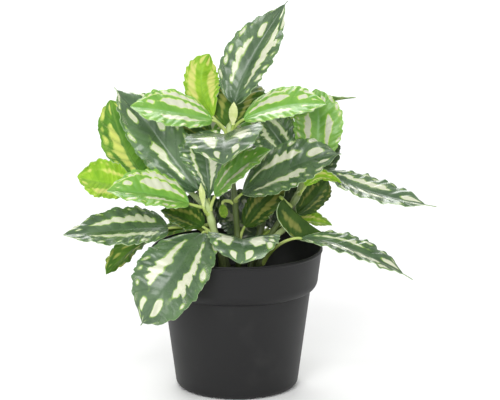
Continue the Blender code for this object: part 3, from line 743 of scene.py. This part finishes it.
def blade_grid(base, control, tip, faces, width, twist, fold, widest, full, neck, drip, curl, wave, quilt,
               pleats):
    """Points of the blade's middle layer, rows from the stalk to the tip, with their print coordinates
    and their count of side veins."""
    length = np.linalg.norm(control - base) + np.linalg.norm(tip - control)
    rows = max(24, round(length / STATION_LENGTH))
    t = np.linspace(0.0, 1.0, rows + 1)[:, None]
    u = np.array([-x for x in ACROSS[:0:-1]] + list(ACROSS))[None, :]
    s = np.abs(u)
    centre = curve_point(base, control, tip, t)
    along = curve_direction(base, control, tip, t)
    normal = unit(faces - along * (along @ faces)[:, None])
    side = np.cross(along, normal)
    angle = math.radians(twist) * t * t
    up = normal * np.cos(angle) + side * np.sin(angle)
    side = np.cross(along, up)
    least = np.where(t < 0.5, STALK_HALF_WIDTH, TIP_HALF_WIDTH * (1 + 2 * (1 - t)))
    half = np.maximum(width / 2 * blade_share(t, widest, full, neck, drip), least)
    centre = centre - up * curl * smooth_rise(t, 0.55, 1.3) * CURL_DROP

    # A tooth at the end of each side vein leans towards the tip, with a small one between
    shift = rng.uniform(0, 1, 6)
    side_shift = np.where(u > 0, 0.5, 0.0) + 0.25 * np.sin(t * 9 + np.where(u > 0, shift[0], shift[1]) * 6)
    vein = (t - VEIN_SLANT * s) * SIDE_VEINS + side_shift
    step = ((t - VEIN_SLANT) * SIDE_VEINS + side_shift) % 1.0
    tooth = np.where(step < TOOTH_PEAK, (step / TOOTH_PEAK) ** 1.4, (1 - step) / (1 - TOOTH_PEAK))
    step = ((t - VEIN_SLANT) * SIDE_VEINS * 3 + side_shift * 3) % 1.0
    small_tooth = np.where(step < SMALL_TOOTH_PEAK, step / SMALL_TOOTH_PEAK,
                           (1 - step) / (1 - SMALL_TOOTH_PEAK))
    size = TOOTH_DEPTH * np.minimum(1.0, half / 6.0) * smooth_rise(t, 0.06, 0.16)
    size = size * (0.65 + 0.7 * np.sin(t * 17 + np.where(u > 0, shift[2], shift[3]) * 6) ** 2)
    tooth = tooth * 0.8 + small_tooth * 0.25
    margin = smooth_rise(s, 0.76, 1.0)
    reach = half * u + np.sign(u) * (tooth - 0.45) * size * margin

    # Rise over the flat: folded halves with an arch, from 0 at the rounded midrib to 1 at the margin,
    # quilting between side veins, pleats, and waves
    rise = math.tan(math.radians(fold)) * half
    height = rise * ((1 + ARCH) * (np.sqrt(s * s + 0.003) - 0.055) / 0.947 - ARCH * s ** 2.2)
    bulge = np.abs(np.sin(math.pi * vein)) ** 0.8 * (1 + 0.35 * np.sin(vein * 2.2 + shift[2] * 6))
    ends = smooth_rise(t, 0.02, 0.2) * (1 - smooth_rise(t, 0.82, 1.0))
    over = smooth_rise(s, 0.02, 0.3) * (1 - 0.55 * smooth_rise(s, 0.75, 1.0))
    height = height + quilt * (bulge - 0.5) * ends * over * np.minimum(1.0, half / 9.0)
    folds = np.cos(s * 10.0) + 0.5 * np.cos(s * 17.0 + shift[4] * 6)
    height = height + pleats * folds * np.exp(-t / 0.2) * np.minimum(1.0, half / 5.0)
    turn = math.tau * t * length / RUFFLE_LENGTH + np.where(u > 0, shift[4], shift[5]) * math.tau
    ruffle = np.sin(turn) + 0.5 * np.sin(turn * 2.3 + 1.0)
    height = height + wave * ruffle * s ** 2.5 * np.minimum(1.0, half / 8.0) * smooth_rise(t, 0.05, 0.3)

    points = (centre[:, None, :] + side[:, None, :] * reach[:, :, None]
              + up[:, None, :] * height[:, :, None]
              + along[:, None, :] * (0.35 * size * tooth * margin)[:, :, None])
    print_at = np.stack(np.broadcast_arrays((u + 1) / 2, t), -1)
    return points, print_at, vein, centre, up, t[:, 0]


def put_value(mesh, name, kind, values):
    """Stores a value for each vertex of the mesh, where the material finds it."""
    layer = mesh.attributes.new(name, kind, "POINT").data
    layer.foreach_set("value" if kind == "FLOAT" else "vector", np.asarray(values, float).ravel())


def blade_shell(points, up):
    """The blade's upper side, underside and cut edge round its middle layer, with each face's material."""
    rows, columns = points.shape[:2]
    normal = unit(np.cross(np.gradient(points, axis=0), -np.gradient(points, axis=1)))
    normal *= np.sign(np.einsum("ijk,ik->ij", normal, up))[:, :, None]
    top = points + normal * LEAF_THICKNESS / 2
    bottom = points - normal * LEAF_THICKNESS / 2
    count = rows * columns
    shell_faces = []
    materials = []
    for i in range(rows - 1):
        for k in range(columns - 1):
            a, b = i * columns + k, i * columns + k + 1
            c, d = b + columns, a + columns
            shell_faces += [(a, b, c, d), (count + d, count + c, count + b, count + a)]
            materials += [UPPER, UNDER]
    ring = (list(range(columns)) + [i * columns + columns - 1 for i in range(1, rows)]
            + [(rows - 1) * columns + k for k in range(columns - 2, -1, -1)]
            + [i * columns for i in range(rows - 2, 0, -1)])
    for a, b in zip(ring, ring[1:] + ring[:1]):
        shell_faces.append((b, a, count + a, count + b))
        materials.append(CUT)
    return np.concatenate([top.reshape(-1, 3), bottom.reshape(-1, 3)]), shell_faces, materials


def leaf_stalk(root, base, leaving, centre, up, t):
    """The stalk from inside the stem to the blade, then on below the blade as a rib that thins out.

    Gives its vertices and faces, the points before the blade, and the blade's rows that the rib follows."""
    stalk_control = base - leaving * np.linalg.norm(base - root[:3]) * 0.45
    outward = base - root[:3]
    outward[2] = 0.0
    rooted = root[:3] + unit(outward) * (root[3] + STALK_CLEARANCE) * 0.35
    steps = np.linspace(0.0, 1.0, STALK_STEPS)[:, None]
    stalk = curve_point(rooted, stalk_control, base, steps[:-1])
    rib_rows = [i for i in range(0, len(t), 3) if t[i] < RIB_END]
    rib = centre[rib_rows] - up[rib_rows] * LEAF_THICKNESS * 0.6
    radii = np.concatenate([np.linspace(*STALK_RADII, len(stalk)),
                            RIB_RADIUS + RIB_SWELL * np.exp(-t[rib_rows] / RIB_FADE)])
    radii[:len(STALK_FOOT_RADII)] = STALK_FOOT_RADII
    verts, stalk_faces = tube(np.concatenate([stalk, rib]), radii, STALK_SIDES)
    return verts, stalk_faces, len(stalk), rib_rows


def make_leaf(name, stem, height, base, middle, tip, faces, width, bright=False, twist=0.0, fold=FOLD,
              widest=0.5, full=0.3, neck=0.55, drip=0.0, curl=0.0, wave=0.6, quilt=QUILT_HEIGHT,
              pleats=PLEAT_HEIGHT, painted_light_tone=1.0, edge=(0.0, 0.0), start=0.13,
              stripe=None, taper=0.0, blot=None, skin=None):
    """One leaf in place of its CAD node: the printed blade with its cut edge, and its stalk.

    Height is where it leaves the stem, and faces is the way that the upper side looks. Edge, stripe and
    blot hold the print's values for the left and the right half as seen from above with the tip ahead.
    What isn't given is drawn by chance."""
    base, middle, tip, faces = (np.array(v, float) for v in (base, middle, tip, faces))
    control = middle * 2 - (base + tip) / 2
    points, print_at, vein, centre, up, t = blade_grid(
        base, control, tip, faces, width, twist, fold, widest, full, neck, drip, curl, wave, quilt, pleats)
    blade_verts, mesh_faces, materials = blade_shell(points, up)
    stalk_verts, stalk_faces, stalk_points, rib_rows = leaf_stalk(
        stem_at(stem, height), base, curve_direction(base, control, tip, 0.0), centre, up, t)
    mesh_faces += [tuple(len(blade_verts) + v for v in face) for face in stalk_faces]
    materials += [STALK if min(face) < stalk_points * STALK_SIDES else UNDER for face in stalk_faces]
    mesh = make_mesh(name, np.concatenate([blade_verts, stalk_verts]), mesh_faces)
    mesh.polygons.foreach_set("material_index", materials)

    flat = print_at.reshape(-1, 2)
    rib_places = [(0.5, 0.02)] * (stalk_points * STALK_SIDES)
    for i in rib_rows:
        rib_places += [(0.5, t[i])] * STALK_SIDES
    per_vertex = np.concatenate([flat, flat, rib_places])
    corner_verts = np.empty(len(mesh.loops), int)
    mesh.loops.foreach_get("vertex_index", corner_verts)
    mesh.uv_layers.new(name=PRINT_MAP).data.foreach_set("uv", per_vertex[corner_verts].ravel())

    right = per_vertex[:, 0] > 0.5
    seed = rng.uniform(0.0, 1.0)
    luck = rng.uniform(0.0, 1.0, (2, 6))
    if stripe is None:
        least_end, least_width = (0.52, 0.20) if bright else (0.58, 0.12)
        stripe = [(least_end + 0.1 * a, least_width + 0.08 * b, 0.39 + 0.06 * c) for a, b, c in luck[:, :3]]
    if blot is None:
        blot = [(half_stripe[0] + 0.04 + 0.05 * a, 0.34 + 0.08 * b, 0.09 + 0.07 * c)
                for half_stripe, (a, b, c) in zip(stripe, luck[:, 3:])]
    # The leaf's tone is painted light that scales its colour: below 1 for the shade that falls inside the
    # plant, above 1 for a painted sheen.
    for key, value in (("seed", seed), ("painted_light_tone", painted_light_tone), ("taper", taper), ("start", start)):
        put_value(mesh, key, "FLOAT", np.full(len(mesh.vertices), value))
    veins = np.concatenate([vein.ravel(), vein.ravel(), np.zeros(len(stalk_verts))])
    put_value(mesh, "vein", "FLOAT", veins)
    put_value(mesh, "edge", "FLOAT", np.where(right, edge[1], edge[0]))
    put_value(mesh, "stripe", "FLOAT_VECTOR", np.where(right[:, None], stripe[1], stripe[0]))
    put_value(mesh, "blot", "FLOAT_VECTOR", np.where(right[:, None], blot[1], blot[0]))
    if mesh.polygons[0].normal.dot(up[0]) < 0:
        mesh.flip_normals()
    mesh.set_sharp_from_angle(angle=math.radians(60))
    for material in skin or ((bright_top, bright_under) if bright else (dark_top, dark_under)):
        mesh.materials.append(material)
    mesh.materials.append(cut_edge)
    mesh.materials.append(stalk_plastic)
    add_piece(name + "_printed", mesh, "leaf_bright" if bright else "leaf_dark", name)


# A leaf's tone in the calls below is painted light: below 1 it paints the shade that falls on leaves inside
# the plant, above 1 the sheen and light on leaves that face the lamps; values near 1 partly keep a leaf's
# own colour.
make_leaf("leaf_top_right", "stem_centre", 140, (-1, 3, 151), (9, 8, 176), (26.6, 16, 203.5),
          (-0.58, -0.74, 0.35), 28, twist=55, fold=22, widest=0.43, full=0.1, neck=0.75, drip=0.03,
          pleats=1.0, start=0.20,
          stripe=((0.57, 0.12, 0.38), (0.74, 0.20, 0.48)), blot=((0.66, 0.28, 0.16), (0.80, 0.50, 0.10)))
make_leaf("leaf_top_left", "stem_centre", 136, (-12.5, 5, 144), (-18.8, 15, 159), (-14.5, 21, 174.5),
          (0.1, 0.9, 0.35), 19, bright=True, full=1.2, quilt=1.0, painted_light_tone=0.85,
          stripe=((0.70, 0.36, 0.55), (0.72, 0.34, 0.55)), blot=((0.84, 0.30, 0.18), (0.82, 0.40, 0.18)))
make_leaf("leaf_upper_left", "stem_centre", 134, (-13, -5, 144), (-34, -9, 149), (-55, -10, 152),
          (-0.1, -0.42, 0.9), 32, bright=True, edge=(0.3, 1.0), start=0.06,
          stripe=((0.56, 0.26, 0.44), (0.58, 0.28, 0.40)), blot=((0.70, 0.36, 0.13), (0.68, 0.40, 0.12)))
make_leaf("leaf_upper_right", "stem_centre", 136.5, (4, -2, 144), (25, -5, 151.5), (46.5, -6, 152.5),
          (0.05, -0.4, 0.9), 28, bright=True, edge=(0.8, 0.1), start=0.08, wave=0.3,
          stripe=((0.50, 0.26, 0.42), (0.52, 0.30, 0.44)), blot=((0.64, 0.40, 0.16), (0.68, 0.34, 0.08)))
make_leaf("leaf_upper_front", "stem_centre", 131, (-6, -8, 137), (-6, -29, 138.5), (-7, -50, 132.5),
          (-0.17, -0.12, 1), 40, full=0.7, curl=1.2, pleats=0.1, quilt=0.2, wave=0.4, painted_light_tone=0.9, start=0.46,
          stripe=((0.60, 0.28, 0.46), (0.72, 0.28, 0.33)), blot=((0.72, 0.46, 0.16), (0.80, 0.32, 0.15)))
make_leaf("leaf_upper_back", "stem_centre", 133, (-5, 6, 138), (-0.5, 17, 150), (4, 34, 159),
          (0, -0.6, 0.8), 30, full=1.2, neck=0.7, painted_light_tone=0.6, skin=(dark_under, dark_under))

# Leaves of the left shoots. They lean out over the rim at several heights, some with their undersides
# turned to the front.
make_leaf("leaf_left_tall", "stem_left", 92, (-20, 0, 106), (-43.8, 10, 134.2), (-65, 22, 156.3),
          (-0.5, -0.8, 0.5), 28, twist=85, fold=14, full=1.7, neck=0.42, drip=0.04, pleats=1.1,
          painted_light_tone=1.25, stripe=((0.42, 0.26, 0.26), (0.44, -0.30, 0.40)),
          blot=((0.62, 0.36, 0.16), (0.44, 0.42, 0.15)))
make_leaf("leaf_left_glossy", "stem_left_front", 92, (-14.5, -8, 103), (-15.8, -5, 120.2), (-20, 3, 136),
          (-0.1, -0.85, 0.5), 25, widest=0.72, full=1.5, neck=0.5, fold=12, pleats=1.0, painted_light_tone=1.2,
          stripe=((0.70, 0.08, 0.50), (0.80, 0.34, 0.32)), blot=((0.84, 0.30, 0.10), (0.88, 0.30, 0.10)))
make_leaf("leaf_left_shaded", "stem_centre", 118, (-9, 8, 124.5), (-24, 18, 135.5), (-42, 26, 141),
          (0.1, 0.75, 0.65), 22, painted_light_tone=0.6)
make_leaf("leaf_left_high", "stem_left", 112, (-47, 24, 105.7), (-59, 28, 122.2), (-67.5, 30, 148.2),
          (0.35, 0.8, 0.45), 36, full=1.3, neck=0.45, quilt=1.4, painted_light_tone=1.2,
          stripe=((0.42, 0.10, 0.40), (0.74, 0.40, 0.34)), blot=((0.84, 0.45, 0.10), (0.86, 0.30, 0.12)))
make_leaf("leaf_left_pale", "stem_left", 111, (-55, 4, 106), (-70, 4, 109), (-84, 4, 112),
          (0.1, 0.85, 0.5), 28, bright=True, full=0.6, quilt=0.7, painted_light_tone=1.03,
          stripe=((0.50, 0.12, 0.50), (0.58, 0.24, 0.60)), blot=((0.70, 0.50, 0.08), (0.74, 0.50, 0.14)))
make_leaf("leaf_left_bright", "stem_left_front", 99, (-25, -16, 102), (-45, -20, 108), (-67, -22, 110),
          (-0.1, -0.42, 0.88), 30, bright=True, fold=16, edge=(0.4, 1.0),
          start=0.08, stripe=((0.50, 0.18, 0.44), (0.56, 0.30, 0.40)),
          blot=((0.68, 0.36, 0.09), (0.68, 0.42, 0.14)))
make_leaf("leaf_left_low", "stem_left", 86, (-36, -14, 88.5), (-61, -18, 88), (-90, -20, 86),
          (-0.05, -0.4, 0.9), 32.5, widest=0.42, taper=0.8,
          stripe=((0.72, 0.22, 0.42), (0.70, 0.20, 0.42)), blot=((0.80, 0.34, 0.06), (0.80, 0.34, 0.06)))
make_leaf("leaf_left_hanging", "stem_left", 72, (-27, 2, 85), (-51, -3, 77), (-69, -4, 61),
          (-0.2, 0.35, 0.9), 24, twist=35, painted_light_tone=0.9)
make_leaf("leaf_left_inner", "stem_left_front", 84, (-18, -9, 88), (-28, -6, 92), (-40, -5, 95.6),
          (-0.1, -0.35, 0.93), 20, painted_light_tone=0.5, skin=(dark_under, dark_under))

# Leaves at the front and in the middle, which hang over the rim or stand between the stems.
make_leaf("leaf_front_left", "stem_left_front", 82, (-18, -21, 87), (-33, -46, 70), (-49, -47, 45),
          (-0.3, -0.8, 0.5), 39, full=1, drip=0.03,
          stripe=((0.58, 0.18, 0.42), (0.60, 0.22, 0.40)), blot=((0.75, 0.22, 0.22), (0.74, 0.46, 0.14)))
make_leaf("leaf_front", "stem_centre", 74, (2, -12, 81), (3.5, -30, 85), (2, -46.5, 81),
          (0.05, -0.12, 1), 37, full=1.6, curl=1.8, pleats=0.2, quilt=0.3, wave=0.4, start=0.43,
          stripe=((0.68, 0.30, 0.38), (0.68, 0.30, 0.46)), blot=((0.80, 0.34, 0.20), (0.81, 0.38, 0.17)))
make_leaf("leaf_centre_bright", "stem_left_front", 98, (-11, -15, 106), (0.5, -17, 120), (17.5, -19, 131),
          (-0.3, -0.45, 0.8), 19, bright=True, full=0.8, painted_light_tone=0.75,
          stripe=((0.40, 0.10, 0.40), (0.66, 0.30, 0.34)), blot=((0.60, 0.40, 0.05), (0.80, 0.30, 0.10)))
make_leaf("leaf_centre_shaded", "stem_centre", 78, (4.3, -1, 86.3), (13.8, -2, 98.8), (27, -3, 110.8),
          (-0.3, -0.85, 0.35), 16, fold=4, painted_light_tone=0.36, skin=(dark_under, dark_under),
          stripe=((0.84, 0.24, 0.42), (0.86, 0.32, 0.36)))
make_leaf("leaf_centre_small", "stem_centre", 99, (-7.5, -3, 98.5), (-7, -3.6, 95), (-6.3, -4, 91.5),
          (0, -0.95, 0.3), 4.6, bright=True, full=1.5, painted_light_tone=0.55, skin=(bright_under, bright_under),
          stripe=((0.5, -0.5, 0.4), (0.5, -0.5, 0.4)), blot=((0.6, 0.4, -0.2), (0.6, 0.4, -0.2)))

# Leaves of the right shoots, from the bright one against the top whorl down to the two that reach
# furthest out.
make_leaf("leaf_right_wide", "stem_centre", 100, (3, -8, 105.5), (28, -16, 121.5), (54, -22, 129.5),
          (-0.05, -0.72, 0.7), 28, drip=0.04, full=0.8, neck=0.75, painted_light_tone=0.8,
          stripe=((0.56, 0.20, 0.44), (0.60, 0.18, 0.42)), blot=((0.69, 0.35, 0.22), (0.75, 0.42, 0.13)))
make_leaf("leaf_right_inner", "stem_right", 110, (28, 9, 122.3), (20, 11, 133.3), (11, 14, 143.3),
          (-0.2, -0.8, 0.5), 24, fold=20, painted_light_tone=1.25, pleats=1.5, start=0.02,
          stripe=((0.95, 0.13, 0.34), (0.95, 0.14, 0.36)), blot=((0.60, 0.40, -0.20), (0.60, 0.40, -0.20)))
make_leaf("leaf_right_top", "stem_right", 111, (41, 4, 118), (42.8, 8, 140), (41.5, 14, 157),
          (0, -0.85, 0.5), 26, bright=True, full=0.35, quilt=0.7, painted_light_tone=0.85,
          stripe=((0.56, 0.20, 0.42), (0.54, 0.20, 0.42)), blot=((0.76, 0.30, 0.15), (0.74, 0.36, 0.15)))
make_leaf("leaf_right_far", "stem_back_right", 116, (30, 31, 139), (46, 31, 146), (63.5, 30, 149.4),
          (0, 0.22, 0.97), 18)
make_leaf("leaf_right_back", "stem_back_right", 100, (31, 17, 106), (42, 21, 119), (47, 26, 136),
          (0, -0.8, 0.55), 25, painted_light_tone=0.6)
make_leaf("leaf_right_small", "stem_right", 104, (36, -13, 111.1), (43.5, -14, 115.9), (54.5, -15, 112.6),
          (0.1, 0.6, 0.75), 12, bright=True,
          stripe=((0.60, 0.30, 0.45), (0.60, 0.30, 0.45)))
make_leaf("leaf_right_out", "stem_right", 107, (47, -1, 115.7), (70, -8, 106.4), (104, -14, 99.8),
          (0.1, -0.25, 0.97), 25, full=1.5, neck=0.75, drip=0.08,
          stripe=((0.58, 0.24, 0.40), (0.60, 0.18, 0.42)), blot=((0.76, 0.30, 0.20), (0.76, 0.35, 0.13)))
make_leaf("leaf_right_under", "stem_right_low", 85.5, (32, 8, 91), (42, 11, 100.5), (48, 13, 108.5),
          (-0.1, 0.8, 0.5), 20, painted_light_tone=0.37,
          stripe=((0.56, 0.14, 0.40), (0.60, 0.14, 0.40)))
make_leaf("leaf_right_pale", "stem_back_right", 76, (29, 20.7, 83.7), (39, 20.7, 84.3), (51, 20.7, 81.7),
          (0.1, 0.6, 0.75), 15.5, bright=True, painted_light_tone=0.9)
make_leaf("leaf_right_shaded", "stem_right", 97, (24, -12, 103), (35.5, -12.5, 92), (49, -12, 83),
          (-0.65, 0, -0.76), 7.2, fold=70, widest=0.42, full=0.8, painted_light_tone=0.33,
          stripe=((0.50, 0.22, 0.36), (0.80, 0.16, 0.60)), blot=((0.84, 0.40, 0.30), (0.84, 0.40, 0.20)))
make_leaf("leaf_right_low", "stem_right_low", 69, (34, -22, 85), (60, -28, 80.3), (91, -31, 65),
          (0.2, -0.2, 0.95), 24, full=1.3, neck=0.75, drip=0.08,
          stripe=((0.52, 0.12, 0.40), (0.66, 0.28, 0.45)), blot=((0.74, 0.35, 0.20), (0.80, 0.30, 0.08)))

# Leaves of the two back shoots, which fill the plant's far side.
make_leaf("leaf_back_right_low", "stem_back_right", 80, (20, 27.5, 77.5), (25, 31.5, 88.4), (32, 33.5, 101),
          (0.1, -0.8, 0.55), 23.5, neck=0.4, painted_light_tone=0.4)
make_leaf("leaf_back_centre_low", "stem_back_right", 71, (12.5, 20, 77.5), (2.5, 25, 87), (-9, 28, 98),
          (-0.1, -0.8, 0.55), 27, painted_light_tone=0.4)
make_leaf("leaf_back_right", "stem_back_right", 98, (27, 31, 105), (40, 39, 109), (54, 46, 100),
          (0.2, 0.1, 1), 32)
make_leaf("leaf_back_centre", "stem_back_right", 102, (10, 33, 111), (-1, 44, 118), (-13, 54, 114),
          (-0.1, 0.2, 1), 32)
make_leaf("leaf_back_top", "stem_back_right", 115, (18, 36, 123), (15, 49, 131), (12, 63, 128),
          (0, -0.2, 1), 26)
make_leaf("leaf_back_top_left", "stem_back_right", 117, (12, 31, 125), (4, 36, 134), (-5, 45, 139),
          (-0.2, -0.5, 0.85), 20, bright=True)
make_leaf("leaf_back_left_low", "stem_back_left", 78, (-13, 25.5, 80), (-19.5, 27.5, 87.8), (-29, 29, 95),
          (0.1, -0.8, 0.55), 22, neck=0.4, painted_light_tone=0.45)
make_leaf("leaf_back_left", "stem_back_left", 103, (-29, 34, 108), (-42, 43, 113), (-56, 53, 107),
          (-0.2, 0.1, 1), 28)
make_leaf("leaf_back_left_inner", "stem_back_left", 97, (-17, 37, 102), (-16, 51, 105), (-17, 66, 96),
          (0, 0.1, 1), 30)
make_leaf("leaf_back_left_top", "stem_back_left", 117, (-26, 37, 123), (-34, 47, 131), (-43, 58, 129),
          (-0.2, -0.1, 1), 29)
make_leaf("leaf_back_left_high", "stem_back_left", 115, (-19, 33, 126), (-15, 38, 139), (-13, 44, 150),
          (0.1, -0.6, 0.7), 20, bright=True)
make_leaf("leaf_back_left_drop", "stem_back_left", 69, (-16, 29, 79), (-27, 44, 77), (-35, 55, 59),
          (-0.3, 0.4, 0.9), 24)
make_leaf("leaf_back_right_drop", "stem_back_right", 68, (17, 31, 78.4), (26, 45, 77), (32, 57, 59),
          (0.2, 0.5, 0.9), 24)

# Buds, the narrow pale first leaves that stand unprinted at the ends of the main and the front left
# shoot.
bud_plastic = soft_plastic("bud plastic", (0.55, 0.64, 0.22, 1.0), (0.72, 0.76, 0.38, 1.0), 1.3, 0.25)

make_leaf("leaf_bud_left", "stem_left_front", 96, (-17.2, -15.8, 100.4), (-17.6, -15.8, 106.5),
          (-18.5, -15.8, 112.8), (-0.6, -0.8, 0), 4, bright=True, neck=0.95,
          skin=(bud_plastic, bud_plastic))
make_leaf("leaf_bud_top", "stem_centre", 137, (-1.8, -2, 141), (-1.8, -2.5, 147), (-1.4, -2, 153),
          (0, -1, 0.1), 4.6, bright=True, full=0.6, neck=0.95, skin=(bud_plastic, bud_plastic))

# Studio: a white table that runs out of sight, a white room, and soft round lights: one above the front,
# a broad one each before and behind, and a weak one at each side. The camera looks down 12.7 degrees
# from 1.3 m away.
FLOOR_SIZE = 12000.0
FLOOR_DROP = 0.2
CAMERA_AIM = (6.94, 0.0, 100.25)
CAMERA_DISTANCE = 1300.0
CAMERA_ELEVATION = 12.7
CAMERA_PIXELS = 2472.0
PHOTO_WIDTH = 500.0
SENSOR = 36.0
ROOM_LIGHT = 0.54
ROOM_SEEN = 1.02

bm = bmesh.new()
bmesh.ops.create_grid(bm, x_segments=1, y_segments=1, size=FLOOR_SIZE / 2 * MM)
bmesh.ops.translate(bm, verts=bm.verts, vec=(0.0, 0.0, -FLOOR_DROP * MM))
floor_mesh = bpy.data.meshes.new("floor")
bm.to_mesh(floor_mesh)
bm.free()
floor = bpy.data.objects.new("floor", floor_mesh)
bpy.context.scene.collection.objects.link(floor)
white_table, tree, shader = new_material("white table")
cloud = add_node(tree, "ShaderNodeTexNoise", {"Scale": 2.0})
tree.links.new(blend_colour(tree, cloud.outputs["Fac"], (0.90, 0.90, 0.90, 1.0), (0.92, 0.92, 0.92, 1.0)),
               shader.inputs["Base Color"])
shader.inputs["Roughness"].default_value = 0.9
shader.inputs["Specular IOR Level"].default_value = 0.1
floor_mesh.materials.append(white_table)

world = bpy.data.worlds.new("white room")
world.use_nodes = True
background = world.node_tree.nodes["Background"]
background.inputs["Color"].default_value = (1.0, 1.0, 1.0, 1.0)
seen = add_node(world.node_tree, "ShaderNodeLightPath").outputs["Is Camera Ray"]
world.node_tree.links.new(calc(world.node_tree, "MULTIPLY_ADD", seen, ROOM_SEEN - ROOM_LIGHT, ROOM_LIGHT),
                          background.inputs["Strength"])
bpy.context.scene.world = world
bpy.context.scene.view_settings.view_transform = "Standard"


def soft_light(name, place, size, power):
    """A round light of a size in mm and a power in watts, turned to the plant."""
    light = bpy.data.lights.new(name, "AREA")
    light.shape = "DISK"
    light.size = size * MM
    light.energy = power
    lamp = bpy.data.objects.new(name, light)
    bpy.context.scene.collection.objects.link(lamp)
    lamp.location = [c * MM for c in place]
    toward = Vector([(a - p) * MM for a, p in zip(CAMERA_AIM, place)])
    lamp.rotation_euler = toward.to_track_quat("-Z", "Y").to_euler()


soft_light("key_light", (-760.0, -2600.0, 3000.0), 1300.0, 34.0)
soft_light("back_light", (-400.0, 3200.0, 2500.0), 3000.0, 110.0)
soft_light("front_light", (-300.0, -3300.0, 1600.0), 2200.0, 70.0)
soft_light("left_light", (-3500.0, -800.0, 1500.0), 1300.0, 14.0)
soft_light("right_light", (3500.0, -1000.0, 1500.0), 1500.0, 12.0)

elevation = math.radians(CAMERA_ELEVATION)
camera_data = bpy.data.cameras.new("camera")
camera_data.sensor_width = SENSOR
camera_data.lens = CAMERA_PIXELS * SENSOR / PHOTO_WIDTH
camera_data.clip_start = 0.05
camera_data.clip_end = 50.0
camera = bpy.data.objects.new("camera", camera_data)
bpy.context.scene.collection.objects.link(camera)
camera.location = [(a + CAMERA_DISTANCE * d) * MM
                   for a, d in zip(CAMERA_AIM, (0.0, -math.cos(elevation), math.sin(elevation)))]
camera.rotation_euler = (math.pi / 2 - elevation, 0.0, 0.0)
bpy.context.scene.camera = camera
